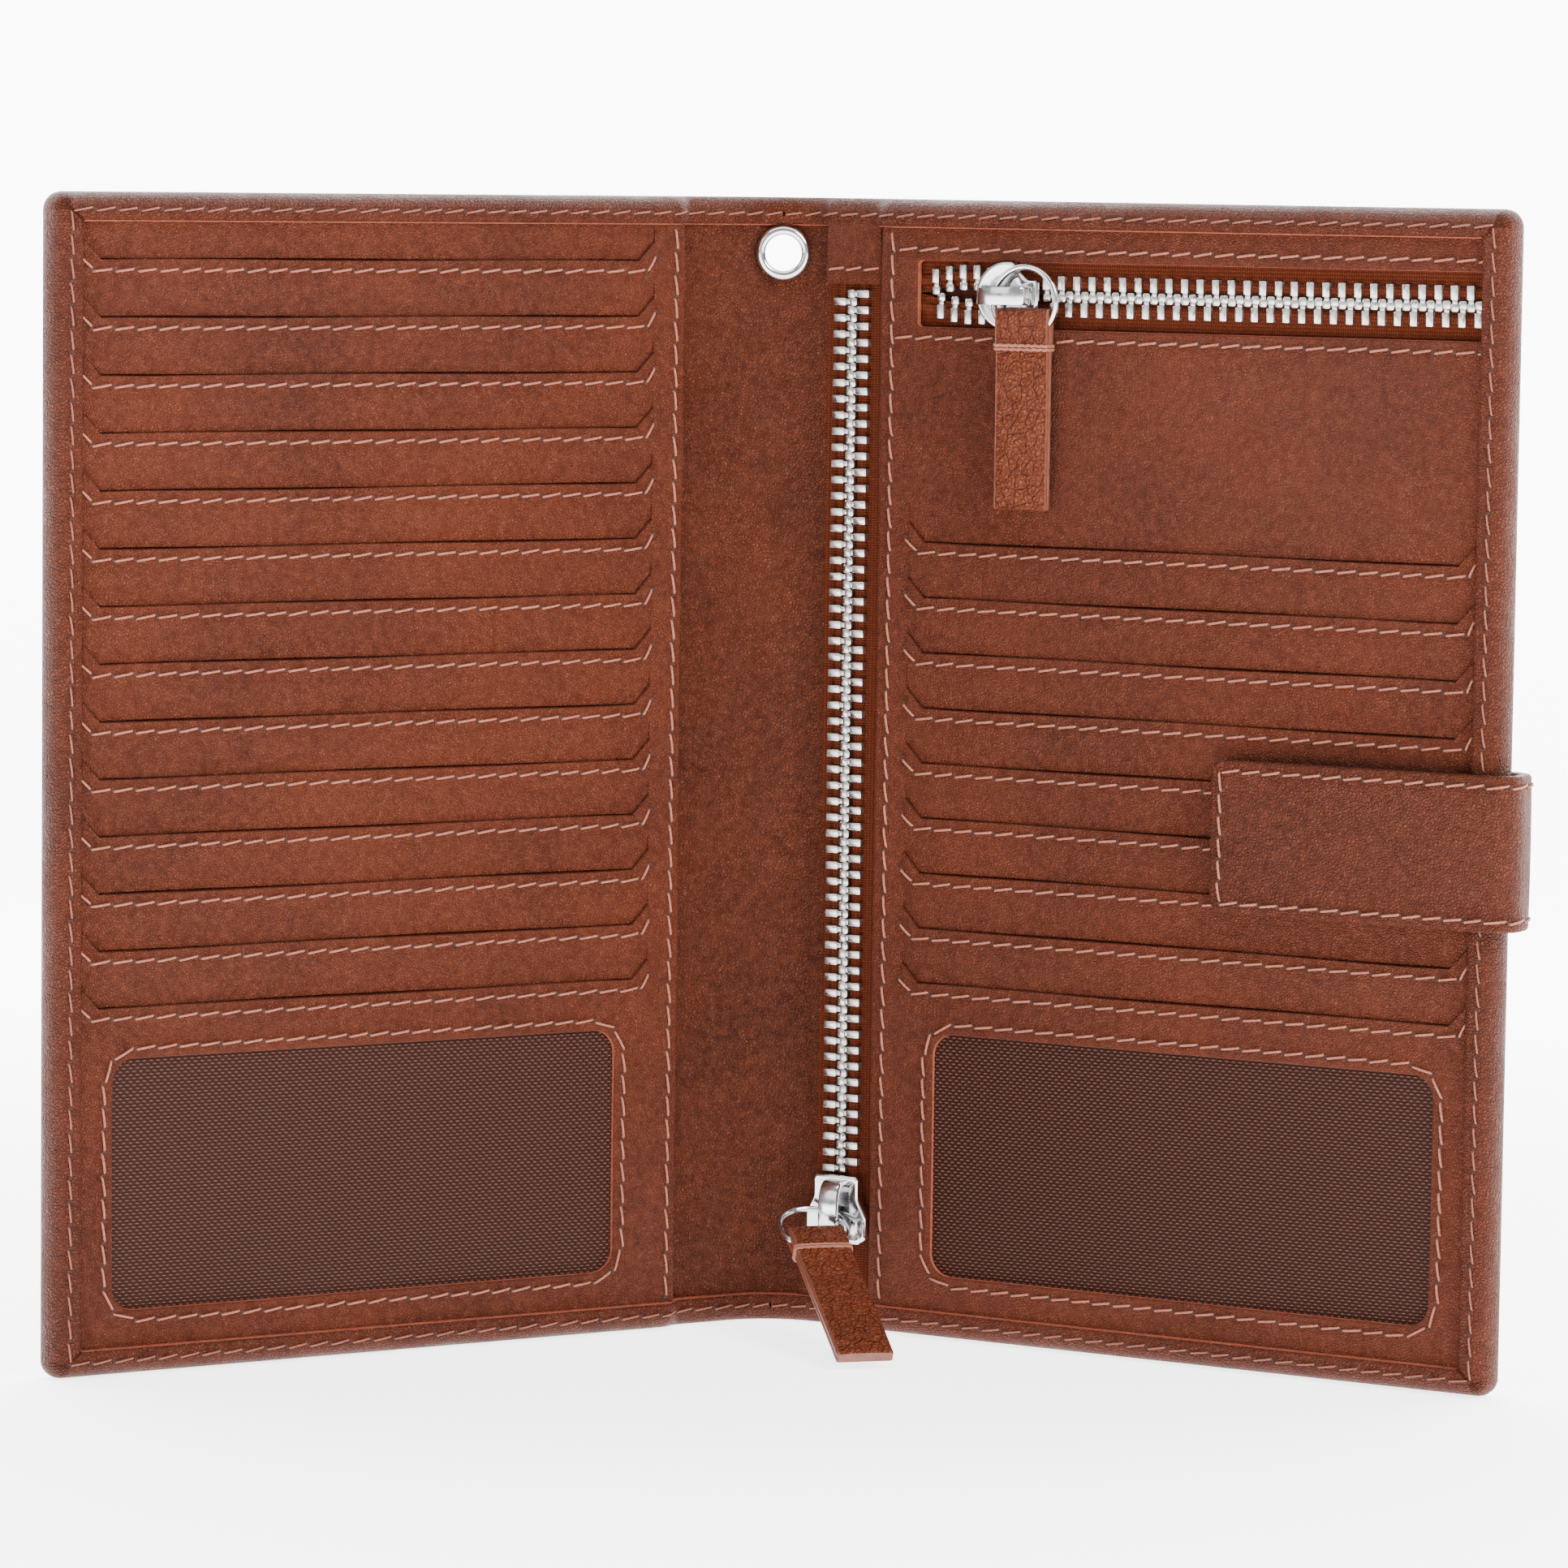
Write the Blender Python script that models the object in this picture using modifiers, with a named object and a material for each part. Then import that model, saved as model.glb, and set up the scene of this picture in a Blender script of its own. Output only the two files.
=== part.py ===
"""Travel document organizer: an open leather travel wallet that stands on its lower edge like a book.

Frame: metres, +Z up.  The origin is on the lower edge, in the middle of the spine.  +X runs to the
right of a person who looks into the open wallet, and +Y points away from that person.

Each cover has its own coordinates: u runs from the fold outward, n runs inward from the inner face
of the cover leather, and z runs up.  The left cover (front) is the mirror image of the right (back).
"""
import math

import bpy
import bmesh
from mathutils import Matrix, Vector

MM = 0.001

# ---- driving dimensions, in millimetres -------------------------------------------------------
HEIGHT = 190.0            # lower edge to upper edge
COVER_WIDTH = 125.5       # fold to outer edge
SPINE_WIDTH = 16.0        # fold to fold, so the room between two closed covers
FOLD_DEG = 29.5           # how far each cover stands forward of the spine
GAP = 0.3                 # between touching solids
FOLD_GAP = 0.35           # the cover's leather starts this far from the fold
LEAF_GAP_DEG = 1.2        # the spine's leather ends this far before the fold
CORNER = 3.0              # outer corner radius of the covers

# ---- layers of a cover, as n ---------------------------------------------------------------------
COVER_N = (-1.0, 0.0)
BOARD_N = (0.3, 0.7)
POCKET_N = (1.0, 2.75)    # back and front of the stack of sloping pocket strips
FACE_N = (3.0, 3.9)       # the leather card panel
HEM_N = (4.2, 5.0)        # the cover leather, turned in over the panel
HEM_SIDE = 5.2
HEM_ENDS = 4.6
WALL = 1.0                # leather thickness where it wraps the edge

# ---- card panels ---------------------------------------------------------------------------------
PANEL_EDGE = 11.6         # u of the panel's edge next to the spine
EDGE_INSET = 1.3
WINDOW = (23.5, 10.6, 114.4, 51.4)      # u, z to u, z
WINDOW_RADIUS = 3.8
SLIT_TOP = 179.4
SLIT_STEP = 9.2
SLIT_COUNT = 14
RIGHT_FIRST_SLIT = 5      # the right panel has only the slits from here down
SLIT_U = (20.5, 117.0)
SLIT_FLARE = (3.4, 3.9)   # the slit ends turn outward and up
SLIT_WIDTH = 0.35
POCKET_HEIGHT = 46.0
POCKET_THICK = 0.12
POCKET_U = (18.5, 119.0)

# ---- spine zip, on the back cover next to the fold --------------------------------------------------
ZIP_U = 5.4
ZIP_Z = (26.0, 175.6)
ZIP_PITCH = 2.7
CHAIN_HALF = 3.1
TOOTH_WIDTH = 1.0
TOOTH_REACH = 1.1         # how far a tooth passes the centre line
ZIP_TAPE_N = (1.6, 1.95)
ZIP_TEETH_N = (1.3, 3.0)
END_TAB = (0.9, 176.2, 11.0, 185.0)
BOTTOM_STOP_Z = (12.4, 14.0)

# ---- coin pocket zip, across the top of the right panel -----------------------------------------------
COIN_WINDOW = (18.7, 169.0, 120.3, 180.0)
COIN_Z = 174.5
COIN_PITCH = 2.8
COIN_TAPE_N = (2.2, 2.5)
COIN_TEETH_N = (1.9, 3.4)
COIN_BAG = (19.5, 136.0, 119.0, 168.4)

# ---- sliders, rings and leather pulls -------------------------------------------------------------------
SLIDER_LENGTH = 11.5
SLIDER_THICK = 0.75
BRIDGE_BAR = 0.9
RING_RADIUS = 5.7         # centre line of the wire
RING_WIRE = 0.55
PULL_WIDTH = 9.6
PULL_THICK = 2.0
LOOP_THICK = 3.0          # where the strip wraps the ring
LOOP_WALL = 0.6
LOOP_SPAN = (-1.05, -7.2)
SPINE_PULL_LENGTH = 37.0
COIN_PULL_LENGTH = 33.0
SPINE_PULL_HEADING = 14.5 # degrees to the right of straight ahead
SPINE_PULL_DIP = 25.0     # degrees below level, so the tip lies on the table
SPINE_SLIDER_Z = 20.25    # the slider's middle
SPINE_PIVOT = (5.3, 19.6) # n and z where the ring sits in the bridge
COIN_SLIDER_U = 35.5
COIN_PIVOT = (34.0, 6.05, 173.6)        # u, n, z

# ---- closing strap ----------------------------------------------------------------------------------------
STRAP_Z = (75.5, 100.5)
STRAP_THICK = 2.0
STRAP_U = COVER_WIDTH + 1.2             # the strap's inner face beyond the cover's edge
STRAP_ROOT_N = -1.3
STRAP_BEND_N = 5.4
STRAP_TIP_N = COVER_N[0] * -1 + SPINE_WIDTH + GAP    # clears the closed front cover
STRAP_END_U = 75.7
ANCHOR_U = 92.0
MAGNET_RADIUS = 5.0
MAGNET_FROM_TIP = 12.0
KEEPER_SIZE = 20.0

# ---- eyelet -------------------------------------------------------------------------------------------------
EYELET_Z = 180.7
EYELET_BORE = 3.0
EYELET_BARREL = 3.6
EYELET_FLANGE = 4.65

FOLD = math.radians(FOLD_DEG)
SPINE_RADIUS = SPINE_WIDTH / 2 / math.sin(FOLD)      # inner face of the spine leather
SPINE_CENTRE_Y = -SPINE_RADIUS * math.cos(FOLD)
ARC_STEP_DEG = 3.0

for old in list(bpy.data.objects):
    bpy.data.objects.remove(old, do_unlink=True)
PARTS = bpy.data.collections.new("travel_document_organizer")
CUTTERS = bpy.data.collections.new("cutters")
bpy.context.scene.collection.children.link(PARTS)
bpy.context.scene.collection.children.link(CUTTERS)


# ---- helpers --------------------------------------------------------------------------------------------------
def finish(name, colour, roughness, metallic=0.0):
    """A Principled material with one colour."""
    material = bpy.data.materials.new(name)
    material.use_nodes = True
    shader = material.node_tree.nodes["Principled BSDF"]
    shader.inputs["Base Color"].default_value = (*colour, 1.0)
    shader.inputs["Roughness"].default_value = roughness
    shader.inputs["Metallic"].default_value = metallic
    return material


COGNAC = (0.24, 0.075, 0.035)


def leather(name):
    return finish(name + "_leather", COGNAC, 0.55)


def metal(name):
    return finish(name + "_metal", (0.75, 0.75, 0.76), 0.22, 1.0)


def fabric(name):
    return finish(name + "_fabric", (0.13, 0.04, 0.02), 0.85)


def arc(cx, cy, radius, start_deg, end_deg, step=15.0):
    """Points on an arc, both ends included."""
    count = max(1, math.ceil(abs(end_deg - start_deg) / step))
    points = []
    for i in range(count + 1):
        angle = math.radians(start_deg + (end_deg - start_deg) * i / count)
        points.append((cx + radius * math.cos(angle), cy + radius * math.sin(angle)))
    return points


def rounded(x0, y0, x1, y1, radius, left_round=True):
    """A rectangle with rounded corners.  Its left corners can stay square."""
    points = arc(x1 - radius, y0 + radius, radius, -90, 0) + arc(x1 - radius, y1 - radius, radius, 0, 90)
    if left_round:
        points += arc(x0 + radius, y1 - radius, radius, 90, 180)
        points += arc(x0 + radius, y0 + radius, radius, 180, 270)
    else:
        points += [(x0, y1), (x0, y0)]
    return points


def box_outline(x0, y0, x1, y1):
    return [(x0, y0), (x1, y0), (x1, y1), (x0, y1)]


def sector(n_out, n_in, half_deg):
    """A slice of the spine's arc between two layers."""
    outer = arc(0, SPINE_CENTRE_Y, SPINE_RADIUS - n_out, 90 - half_deg, 90 + half_deg, ARC_STEP_DEG)
    inner = arc(0, SPINE_CENTRE_Y, SPINE_RADIUS - n_in, 90 + half_deg, 90 - half_deg, ARC_STEP_DEG)
    return outer + inner


def extruded(name, loops, thickness, collection=PARTS):
    """A flat outline, with any holes, as a mesh centred on its own plane.

    The curve is filled in millimetres, where its small features are far above the fill's tolerance.
    """
    curve = bpy.data.curves.new(name, "CURVE")
    curve.dimensions = "2D"
    curve.fill_mode = "BOTH"
    curve.extrude = thickness / 2
    for loop in loops:
        spline = curve.splines.new("POLY")
        spline.points.add(len(loop) - 1)
        for point, (x, y) in zip(spline.points, loop):
            point.co = (x, y, 0, 1)
        spline.use_cyclic_u = True
    source = bpy.data.objects.new(name + "_outline", curve)
    collection.objects.link(source)
    bpy.context.view_layer.update()
    graph = bpy.context.evaluated_depsgraph_get()
    mesh = bpy.data.meshes.new_from_object(source.evaluated_get(graph))
    bpy.data.objects.remove(source, do_unlink=True)
    cage = bmesh.new()
    cage.from_mesh(mesh)
    bmesh.ops.remove_doubles(cage, verts=cage.verts, dist=0.001)
    bmesh.ops.scale(cage, vec=(MM, MM, MM), verts=cage.verts)
    bmesh.ops.recalc_face_normals(cage, faces=cage.faces)
    cage.to_mesh(mesh)
    cage.free()
    mesh.name = name
    piece = bpy.data.objects.new(name, mesh)
    collection.objects.link(piece)
    return piece


def comb_plate(name, loop, thickness, collection=PARTS):
    """A toothed outline with hundreds of corners in line, raised from one many-sided face."""
    mesh = bpy.data.meshes.new(name)
    cage = bmesh.new()
    corners = [cage.verts.new((x * MM, y * MM, -thickness / 2 * MM)) for x, y in loop]
    face = cage.faces.new(corners)
    raised = bmesh.ops.extrude_face_region(cage, geom=[face], use_keep_orig=True)
    top = [item for item in raised["geom"] if isinstance(item, bmesh.types.BMVert)]
    bmesh.ops.translate(cage, vec=(0, 0, thickness * MM), verts=top)
    bmesh.ops.recalc_face_normals(cage, faces=cage.faces)
    bmesh.ops.triangulate(cage, faces=cage.faces, ngon_method="EAR_CLIP")
    cage.to_mesh(mesh)
    cage.free()
    piece = bpy.data.objects.new(name, mesh)
    collection.objects.link(piece)
    return piece


def paint(piece, material):
    piece.data.materials.clear()
    piece.data.materials.append(material)
    return piece


def empty(name, matrix, parent=None):
    axis = bpy.data.objects.new(name, None)
    PARTS.objects.link(axis)
    axis.parent = parent
    axis.matrix_world = matrix
    bpy.context.view_layer.update()
    return axis


def cut(piece, cutter):
    """Subtract a cutter, which is kept hidden as a guide."""
    cutter.hide_render = True
    cutter.display_type = "WIRE"
    hollow = piece.modifiers.new("cut_" + cutter.name, "BOOLEAN")
    hollow.operation = "DIFFERENCE"
    hollow.solver = "EXACT"
    hollow.object = cutter


def upright(name, loops, z0, z1, material=None, collection=PARTS):
    """A plan outline drawn in X and Y and raised from z0 to z1."""
    piece = extruded(name, loops, z1 - z0, collection)
    piece.location = (0, 0, (z0 + z1) / 2 * MM)
    if material:
        paint(piece, material)
    return piece


class Cover:
    """One cover's coordinates: side is -1 on the left and +1 on the right."""

    def __init__(self, name, side):
        self.name = name
        self.side = side
        place = Matrix.Translation((side * SPINE_WIDTH / 2 * MM, 0, 0))
        self.axis = empty(name + "_fold_axis", place @ Matrix.Rotation(-side * FOLD, 4, "Z"))

    def plate(self, name, loops, n_span, material=None, collection=PARTS, parent=None, slope=0.0, rise=0.0,
              maker=None):
        """A flat piece drawn in u and z, between two layers.

        A sloping piece leans about its own z = 0, which is then raised by rise.
        """
        turned = []
        for loop in loops:
            turned.append([(self.side * u, z) for u, z in loop])
        if maker:
            piece = maker(name, turned[0], n_span[1] - n_span[0], collection)
        else:
            piece = extruded(name, turned, n_span[1] - n_span[0], collection)
        middle = (n_span[0] + n_span[1]) / 2
        seat = Matrix.Translation((0, -middle * MM, rise * MM))
        local = seat @ Matrix.Rotation(math.pi / 2 + slope, 4, "X")
        piece.parent = parent or self.axis
        piece.matrix_world = self.axis.matrix_world @ local
        if material:
            paint(piece, material)
        return piece

    def point(self, u, n, z):
        """World place, in metres, of a point of the cover."""
        return self.axis.matrix_world @ Vector((self.side * u * MM, -n * MM, z * MM))


FRONT = Cover("front", -1)
BACK = Cover("back", 1)


# ---- spine ------------------------------------------------------------------------------------------------------
def make_spine():
    """The curved spine leather with its turned ends, its lining and the hanging eyelet."""
    leaf_deg = FOLD_DEG - LEAF_GAP_DEG
    hem_deg = FOLD_DEG - 5.0
    lining_deg = FOLD_DEG - 3.0
    hem_n = (1.5, 2.3)
    outline = arc(0, SPINE_CENTRE_Y, SPINE_RADIUS - COVER_N[0], 90 - leaf_deg, 90 + leaf_deg, ARC_STEP_DEG)
    outline += arc(0, SPINE_CENTRE_Y, SPINE_RADIUS, 90 + leaf_deg, 90 + hem_deg, ARC_STEP_DEG)
    outline += arc(0, SPINE_CENTRE_Y, SPINE_RADIUS - hem_n[1], 90 + hem_deg, 90 - hem_deg, ARC_STEP_DEG)
    outline += arc(0, SPINE_CENTRE_Y, SPINE_RADIUS, 90 - hem_deg, 90 - leaf_deg, ARC_STEP_DEG)
    cover = upright("spine_cover", [outline], 0, HEIGHT, leather("spine"))
    room = upright("spine_room", [sector(0, hem_n[0], 40)], WALL, HEIGHT - WALL, None, CUTTERS)
    mouth = upright("spine_mouth", [sector(hem_n[0] - 0.01, 4, 40)], HEM_ENDS, HEIGHT - HEM_ENDS, None, CUTTERS)
    cut(cover, room)
    cut(cover, mouth)
    lining = upright("spine_lining", [sector(BOARD_N[0], 1.2, lining_deg)], EDGE_INSET,
                     HEIGHT - EDGE_INSET, leather("spine_lining"))
    hole = extruded("eyelet_hole", [arc(0, 0, EYELET_BARREL + GAP, 0, 348, 12)], 30, CUTTERS)
    hole.matrix_world = Matrix.Translation((0, 0, EYELET_Z * MM)) @ Matrix.Rotation(math.pi / 2, 4, "X")
    cut(cover, hole)
    cut(lining, hole)


def turned(name, profile, y0, material):
    """A closed profile of radius and depth, turned about the eyelet's axis."""
    mesh = bpy.data.meshes.new(name)
    count = len(profile)
    rim = [(radius * MM, 0, depth * MM) for radius, depth in profile]
    mesh.from_pydata(rim, [(i, (i + 1) % count) for i in range(count)], [])
    piece = bpy.data.objects.new(name, mesh)
    PARTS.objects.link(piece)
    screw = piece.modifiers.new("turn", "SCREW")
    screw.steps = 32
    screw.render_steps = 32
    screw.use_merge_vertices = True
    screw.merge_threshold = 0.00001
    place = Matrix.Translation((0, y0 * MM, EYELET_Z * MM))
    piece.matrix_world = place @ Matrix.Rotation(math.pi / 2, 4, "X")
    return paint(piece, material)


def make_eyelet():
    """A flanged eyelet in the lining with a washer behind the spine leather."""
    steel = metal("eyelet")
    seat = SPINE_CENTRE_Y + math.sqrt((SPINE_RADIUS - 1.2) ** 2 - EYELET_FLANGE ** 2) - GAP
    back = SPINE_CENTRE_Y + SPINE_RADIUS - COVER_N[0] + GAP
    tail = seat - back - 0.9
    ring = [(EYELET_FLANGE, 0.25), (EYELET_FLANGE, 0.0), (EYELET_BARREL, 0.0), (EYELET_BARREL, tail),
            (EYELET_BORE, tail), (EYELET_BORE, 0.55), (EYELET_BORE + 0.35, 0.85), (EYELET_FLANGE - 0.4, 0.7)]
    turned("eyelet", ring, seat, steel)
    washer = [(EYELET_FLANGE, 0.0), (EYELET_FLANGE, -0.45), (EYELET_FLANGE - 0.3, -0.7),
              (EYELET_BARREL + GAP, -0.7), (EYELET_BARREL + GAP, 0.0)]
    turned("eyelet_washer", washer, back, steel)


# ---- covers ------------------------------------------------------------------------------------------------------
def make_cover(cover):
    """Cover leather that wraps over the outer, upper and lower edges and ends in a turned hem."""
    name = cover.name
    outline = rounded(FOLD_GAP, 0, COVER_WIDTH, HEIGHT, CORNER, False)
    shell = cover.plate(name + "_cover", [outline], (COVER_N[0], HEM_N[1]), leather(name))
    room = rounded(-5, WALL, COVER_WIDTH - WALL, HEIGHT - WALL, CORNER - WALL, False)
    cut(shell, cover.plate(name + "_room", [room], (0, HEM_N[0]), None, CUTTERS))
    mouth = rounded(-5, HEM_ENDS, COVER_WIDTH - HEM_SIDE, HEIGHT - HEM_ENDS, 0.8, False)
    cut(shell, cover.plate(name + "_mouth", [mouth], (HEM_N[0] - 0.01, HEM_N[1] + 1), None, CUTTERS))
    throat = box_outline(-5, -5, 9.5, HEIGHT + 5)
    cut(shell, cover.plate(name + "_throat", [throat], (0, HEM_N[1] + 1), None, CUTTERS))


def keeper_outline(margin):
    """The steel plate's outline, where the tab's magnet comes to lie when the wallet is closed."""
    centre = STRAP_END_U + MAGNET_FROM_TIP + STRAP_TIP_N - STRAP_BEND_N
    middle = sum(STRAP_Z) / 2
    half = KEEPER_SIZE / 2 + margin
    return box_outline(centre - half, middle - half, centre + half, middle + half)


def make_boards():
    """Stiffening boards, and on the front the steel plate that the strap's magnet holds to."""
    limits = (1.6, EDGE_INSET, COVER_WIDTH - EDGE_INSET, HEIGHT - EDGE_INSET)
    board = rounded(*limits, CORNER, False)
    card = finish("board_card", (0.35, 0.27, 0.18), 0.9)
    FRONT.plate("front_board", [board, keeper_outline(GAP)], BOARD_N, card)
    BACK.plate("back_board", [board], BOARD_N, card)
    steel = finish("keeper_steel", (0.5, 0.5, 0.5), 0.4, 1.0)
    FRONT.plate("keeper_plate", [keeper_outline(0)], BOARD_N, steel)


def slit_height(index):
    return SLIT_TOP - SLIT_STEP * index


def slit_outline(z):
    """A card slit: a level run whose ends turn outward and up."""
    half = SLIT_WIDTH / 2
    inner, outer = SLIT_U
    across, up = SLIT_FLARE
    upper = [(inner - across, z + up + half), (inner, z + half), (outer, z + half),
             (outer + across * 0.8, z + up * 0.8 + half)]
    lower = [(u, zed - 2 * half) for u, zed in reversed(upper)]
    return upper + lower


def make_panel(cover, name, slits, extra):
    """The leather card panel: slits, an identity window and any further opening."""
    limits = (PANEL_EDGE, EDGE_INSET, COVER_WIDTH - EDGE_INSET, HEIGHT - EDGE_INSET)
    loops = [rounded(*limits, CORNER - EDGE_INSET, False), rounded(*WINDOW, WINDOW_RADIUS)]
    for index in slits:
        loops.append(slit_outline(slit_height(index)))
    cover.plate(name + "_card_panel", loops + extra, FACE_N, leather(name))
    u0, z0, u1, z1 = WINDOW
    mesh_loop = rounded(u0 + GAP, z0 + GAP, u1 - GAP, z1 - GAP, WINDOW_RADIUS - GAP)
    cover.plate(name + "_window_mesh", [mesh_loop], (FACE_N[0], FACE_N[0] + GAP), fabric(name + "_mesh"))


def make_pockets(cover, name, slits):
    """Thin pocket strips behind the slits, shingled so that each lies behind the one below it."""
    slope = math.atan((POCKET_N[1] - POCKET_N[0]) / POCKET_HEIGHT)
    for number, index in enumerate(slits, 1):
        label = f"{name}_pocket_{number:02d}"
        strip = box_outline(POCKET_U[0], -POCKET_HEIGHT, POCKET_U[1], 0)
        layer = (POCKET_N[1] - POCKET_THICK, POCKET_N[1])
        cover.plate(label, [strip], layer, fabric(label), slope=slope, rise=slit_height(index) - 1.0)


# ---- zips --------------------------------------------------------------------------------------------------------
def comb(start, end, pitch, offset, base, root, tip):
    """A row of zip teeth on one solid cord, as (along, across) points."""
    points = [(start, base), (end, base), (end, root)]
    count = int((end - start - offset - TOOTH_WIDTH) // pitch) + 1
    for i in reversed(range(count)):
        left = start + offset + i * pitch
        right = left + TOOTH_WIDTH
        points += [(right, root), (right, tip), (left, tip), (left, root)]
    points.append((start, root))
    return points


def make_spine_zip():
    """The long zip beside the spine: two tapes, two rows of teeth, a stop and a leather end tab."""
    start, end = ZIP_Z
    low, high = EDGE_INSET + 4, 175.8
    tape = fabric("spine_zip_tape")
    steel = metal("spine_zip_teeth")
    inner = (ZIP_U - CHAIN_HALF, ZIP_U - 1.3, ZIP_U + TOOTH_REACH)
    outer = (ZIP_U + CHAIN_HALF, ZIP_U + 1.3, ZIP_U - TOOTH_REACH)
    BACK.plate("spine_zip_tape_inner", [box_outline(0.9, low, inner[0] - GAP, high)], ZIP_TAPE_N, tape)
    beside = box_outline(outer[0] + GAP, low, PANEL_EDGE - GAP, high)
    BACK.plate("spine_zip_tape_outer", [beside], ZIP_TAPE_N, tape)
    for label, (base, root, tip), offset in (("inner", inner, 0.3), ("outer", outer, 0.3 + ZIP_PITCH / 2)):
        row = [(across, along) for along, across in comb(start, end, ZIP_PITCH, offset, base, root, tip)]
        BACK.plate("spine_zip_teeth_" + label, [row], ZIP_TEETH_N, steel, maker=comb_plate)
    stop = box_outline(ZIP_U - 2.2, BOTTOM_STOP_Z[0], ZIP_U + 2.2, BOTTOM_STOP_Z[1])
    BACK.plate("spine_zip_bottom_stop", [stop], (ZIP_TEETH_N[0], 2.6), steel)
    BACK.plate("spine_zip_end_tab", [rounded(*END_TAB, 0.6)], (1.5, 2.5), leather("end_tab"))


def make_coin_zip():
    """The coin pocket's zip in its window, and the flat bag behind it."""
    u0, z0, u1, z1 = COIN_WINDOW
    start, end = u0 + 0.8, u1 - 0.8
    tape = fabric("coin_zip_tape")
    steel = metal("coin_zip_teeth")
    for label, sign, edge, offset in (("upper", 1, z1, 0.3), ("lower", -1, z0, 0.3 + COIN_PITCH / 2)):
        base = COIN_Z + sign * CHAIN_HALF
        root = COIN_Z + sign * 1.3
        tip = COIN_Z - sign * TOOTH_REACH
        strip = box_outline(start, min(base + sign * GAP, edge - sign * GAP), end,
                            max(base + sign * GAP, edge - sign * GAP))
        BACK.plate("coin_zip_tape_" + label, [strip], COIN_TAPE_N, tape)
        row = comb(start, end, COIN_PITCH, offset, base, root, tip)
        BACK.plate("coin_zip_teeth_" + label, [row], COIN_TEETH_N, steel, maker=comb_plate)
    BACK.plate("coin_pocket_bag", [box_outline(*COIN_BAG)], (1.0, 1.8), fabric("coin_bag"))


def frame_matrix(x_axis, y_axis, z_axis, place):
    matrix = Matrix((x_axis, y_axis, z_axis)).transposed().to_4x4()
    matrix.translation = place
    return matrix


def make_slider(name, outline, bridge_width, plate_n, bridge_n, along, across, normal, place):
    """A slider's face plate with the bridge that holds its ring.

    The outline is drawn across and along the zip, and place is the plate's centre at n = 0.
    """
    plate = extruded(name, [outline], plate_n[1] - plate_n[0])
    plate.matrix_world = frame_matrix(across, along, normal, place + normal * sum(plate_n) / 2 * MM)
    half = SLIDER_LENGTH / 2 - 1.1
    low, high = plate_n[1] - 0.2, bridge_n
    top, open_top = high, high - BRIDGE_BAR
    post = half - 1.1
    profile = [(-half, low), (-half, top - 1.0), (-half + 1.0, top), (half - 1.0, top), (half, top - 1.0),
               (half, low), (post, low), (post, open_top), (-post, open_top), (-post, low)]
    arch = extruded(name + "_bridge", [profile], bridge_width, CUTTERS)
    arch.matrix_world = frame_matrix(along, normal, along.cross(normal), place)
    arch.hide_render = True
    arch.display_type = "WIRE"
    join = plate.modifiers.new("bridge", "BOOLEAN")
    join.operation = "UNION"
    join.solver = "EXACT"
    join.object = arch
    return paint(plate, metal(name))


def make_pull(name, pivot, ring_axis, ring_out, pull_turn, length, slider):
    """A ring through the bridge and a doubled leather strip looped on the ring.

    The ring turns on ring_axis through pivot.  The strip slides round the ring about the ring's own
    centre, and at rest it has slid by pull_turn from straight out.
    """
    steel = metal(name + "_ring")
    normal = ring_axis.cross(ring_out)
    hinge = empty(name + "_ring_axis", frame_matrix(ring_axis, -ring_out, normal, pivot), slider)
    centre = pivot + ring_out * RING_RADIUS * MM
    bpy.ops.mesh.primitive_torus_add(major_radius=RING_RADIUS * MM, minor_radius=RING_WIRE * MM,
                                     major_segments=40, minor_segments=8)
    ring = bpy.context.active_object
    ring.name = name + "_ring"
    ring.data.name = ring.name
    for owner in list(ring.users_collection):
        owner.objects.unlink(ring)
    PARTS.objects.link(ring)
    ring.parent = hinge
    ring.matrix_world = frame_matrix(ring_axis, -ring_out, normal, centre)
    ring.data.shade_smooth()
    paint(ring, steel)
    out = ring_out * math.cos(pull_turn) + ring_axis * math.sin(pull_turn)
    across = ring_axis * math.cos(pull_turn) - ring_out * math.sin(pull_turn)
    top, low = LOOP_SPAN
    wall, strip = LOOP_THICK / 2, PULL_THICK / 2
    end = top - length
    side = [(top, -wall + 0.6), (top, wall - 0.6), (top - 0.6, wall), (low, wall), (low - 1.5, strip),
            (end, strip), (end, -strip), (low - 1.5, -strip), (low, -wall), (top - 0.6, -wall)]
    inner = wall - LOOP_WALL
    tunnel = [(top - LOOP_WALL, -inner), (top - LOOP_WALL, inner), (low + 0.6, inner), (low + 0.6, -inner)]
    pull = extruded(name + "_puller", [side, tunnel], PULL_WIDTH)
    pull.parent = hinge
    pull.matrix_world = frame_matrix(-out, normal, across * -1, centre)
    paint(pull, leather(name + "_puller"))


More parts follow.
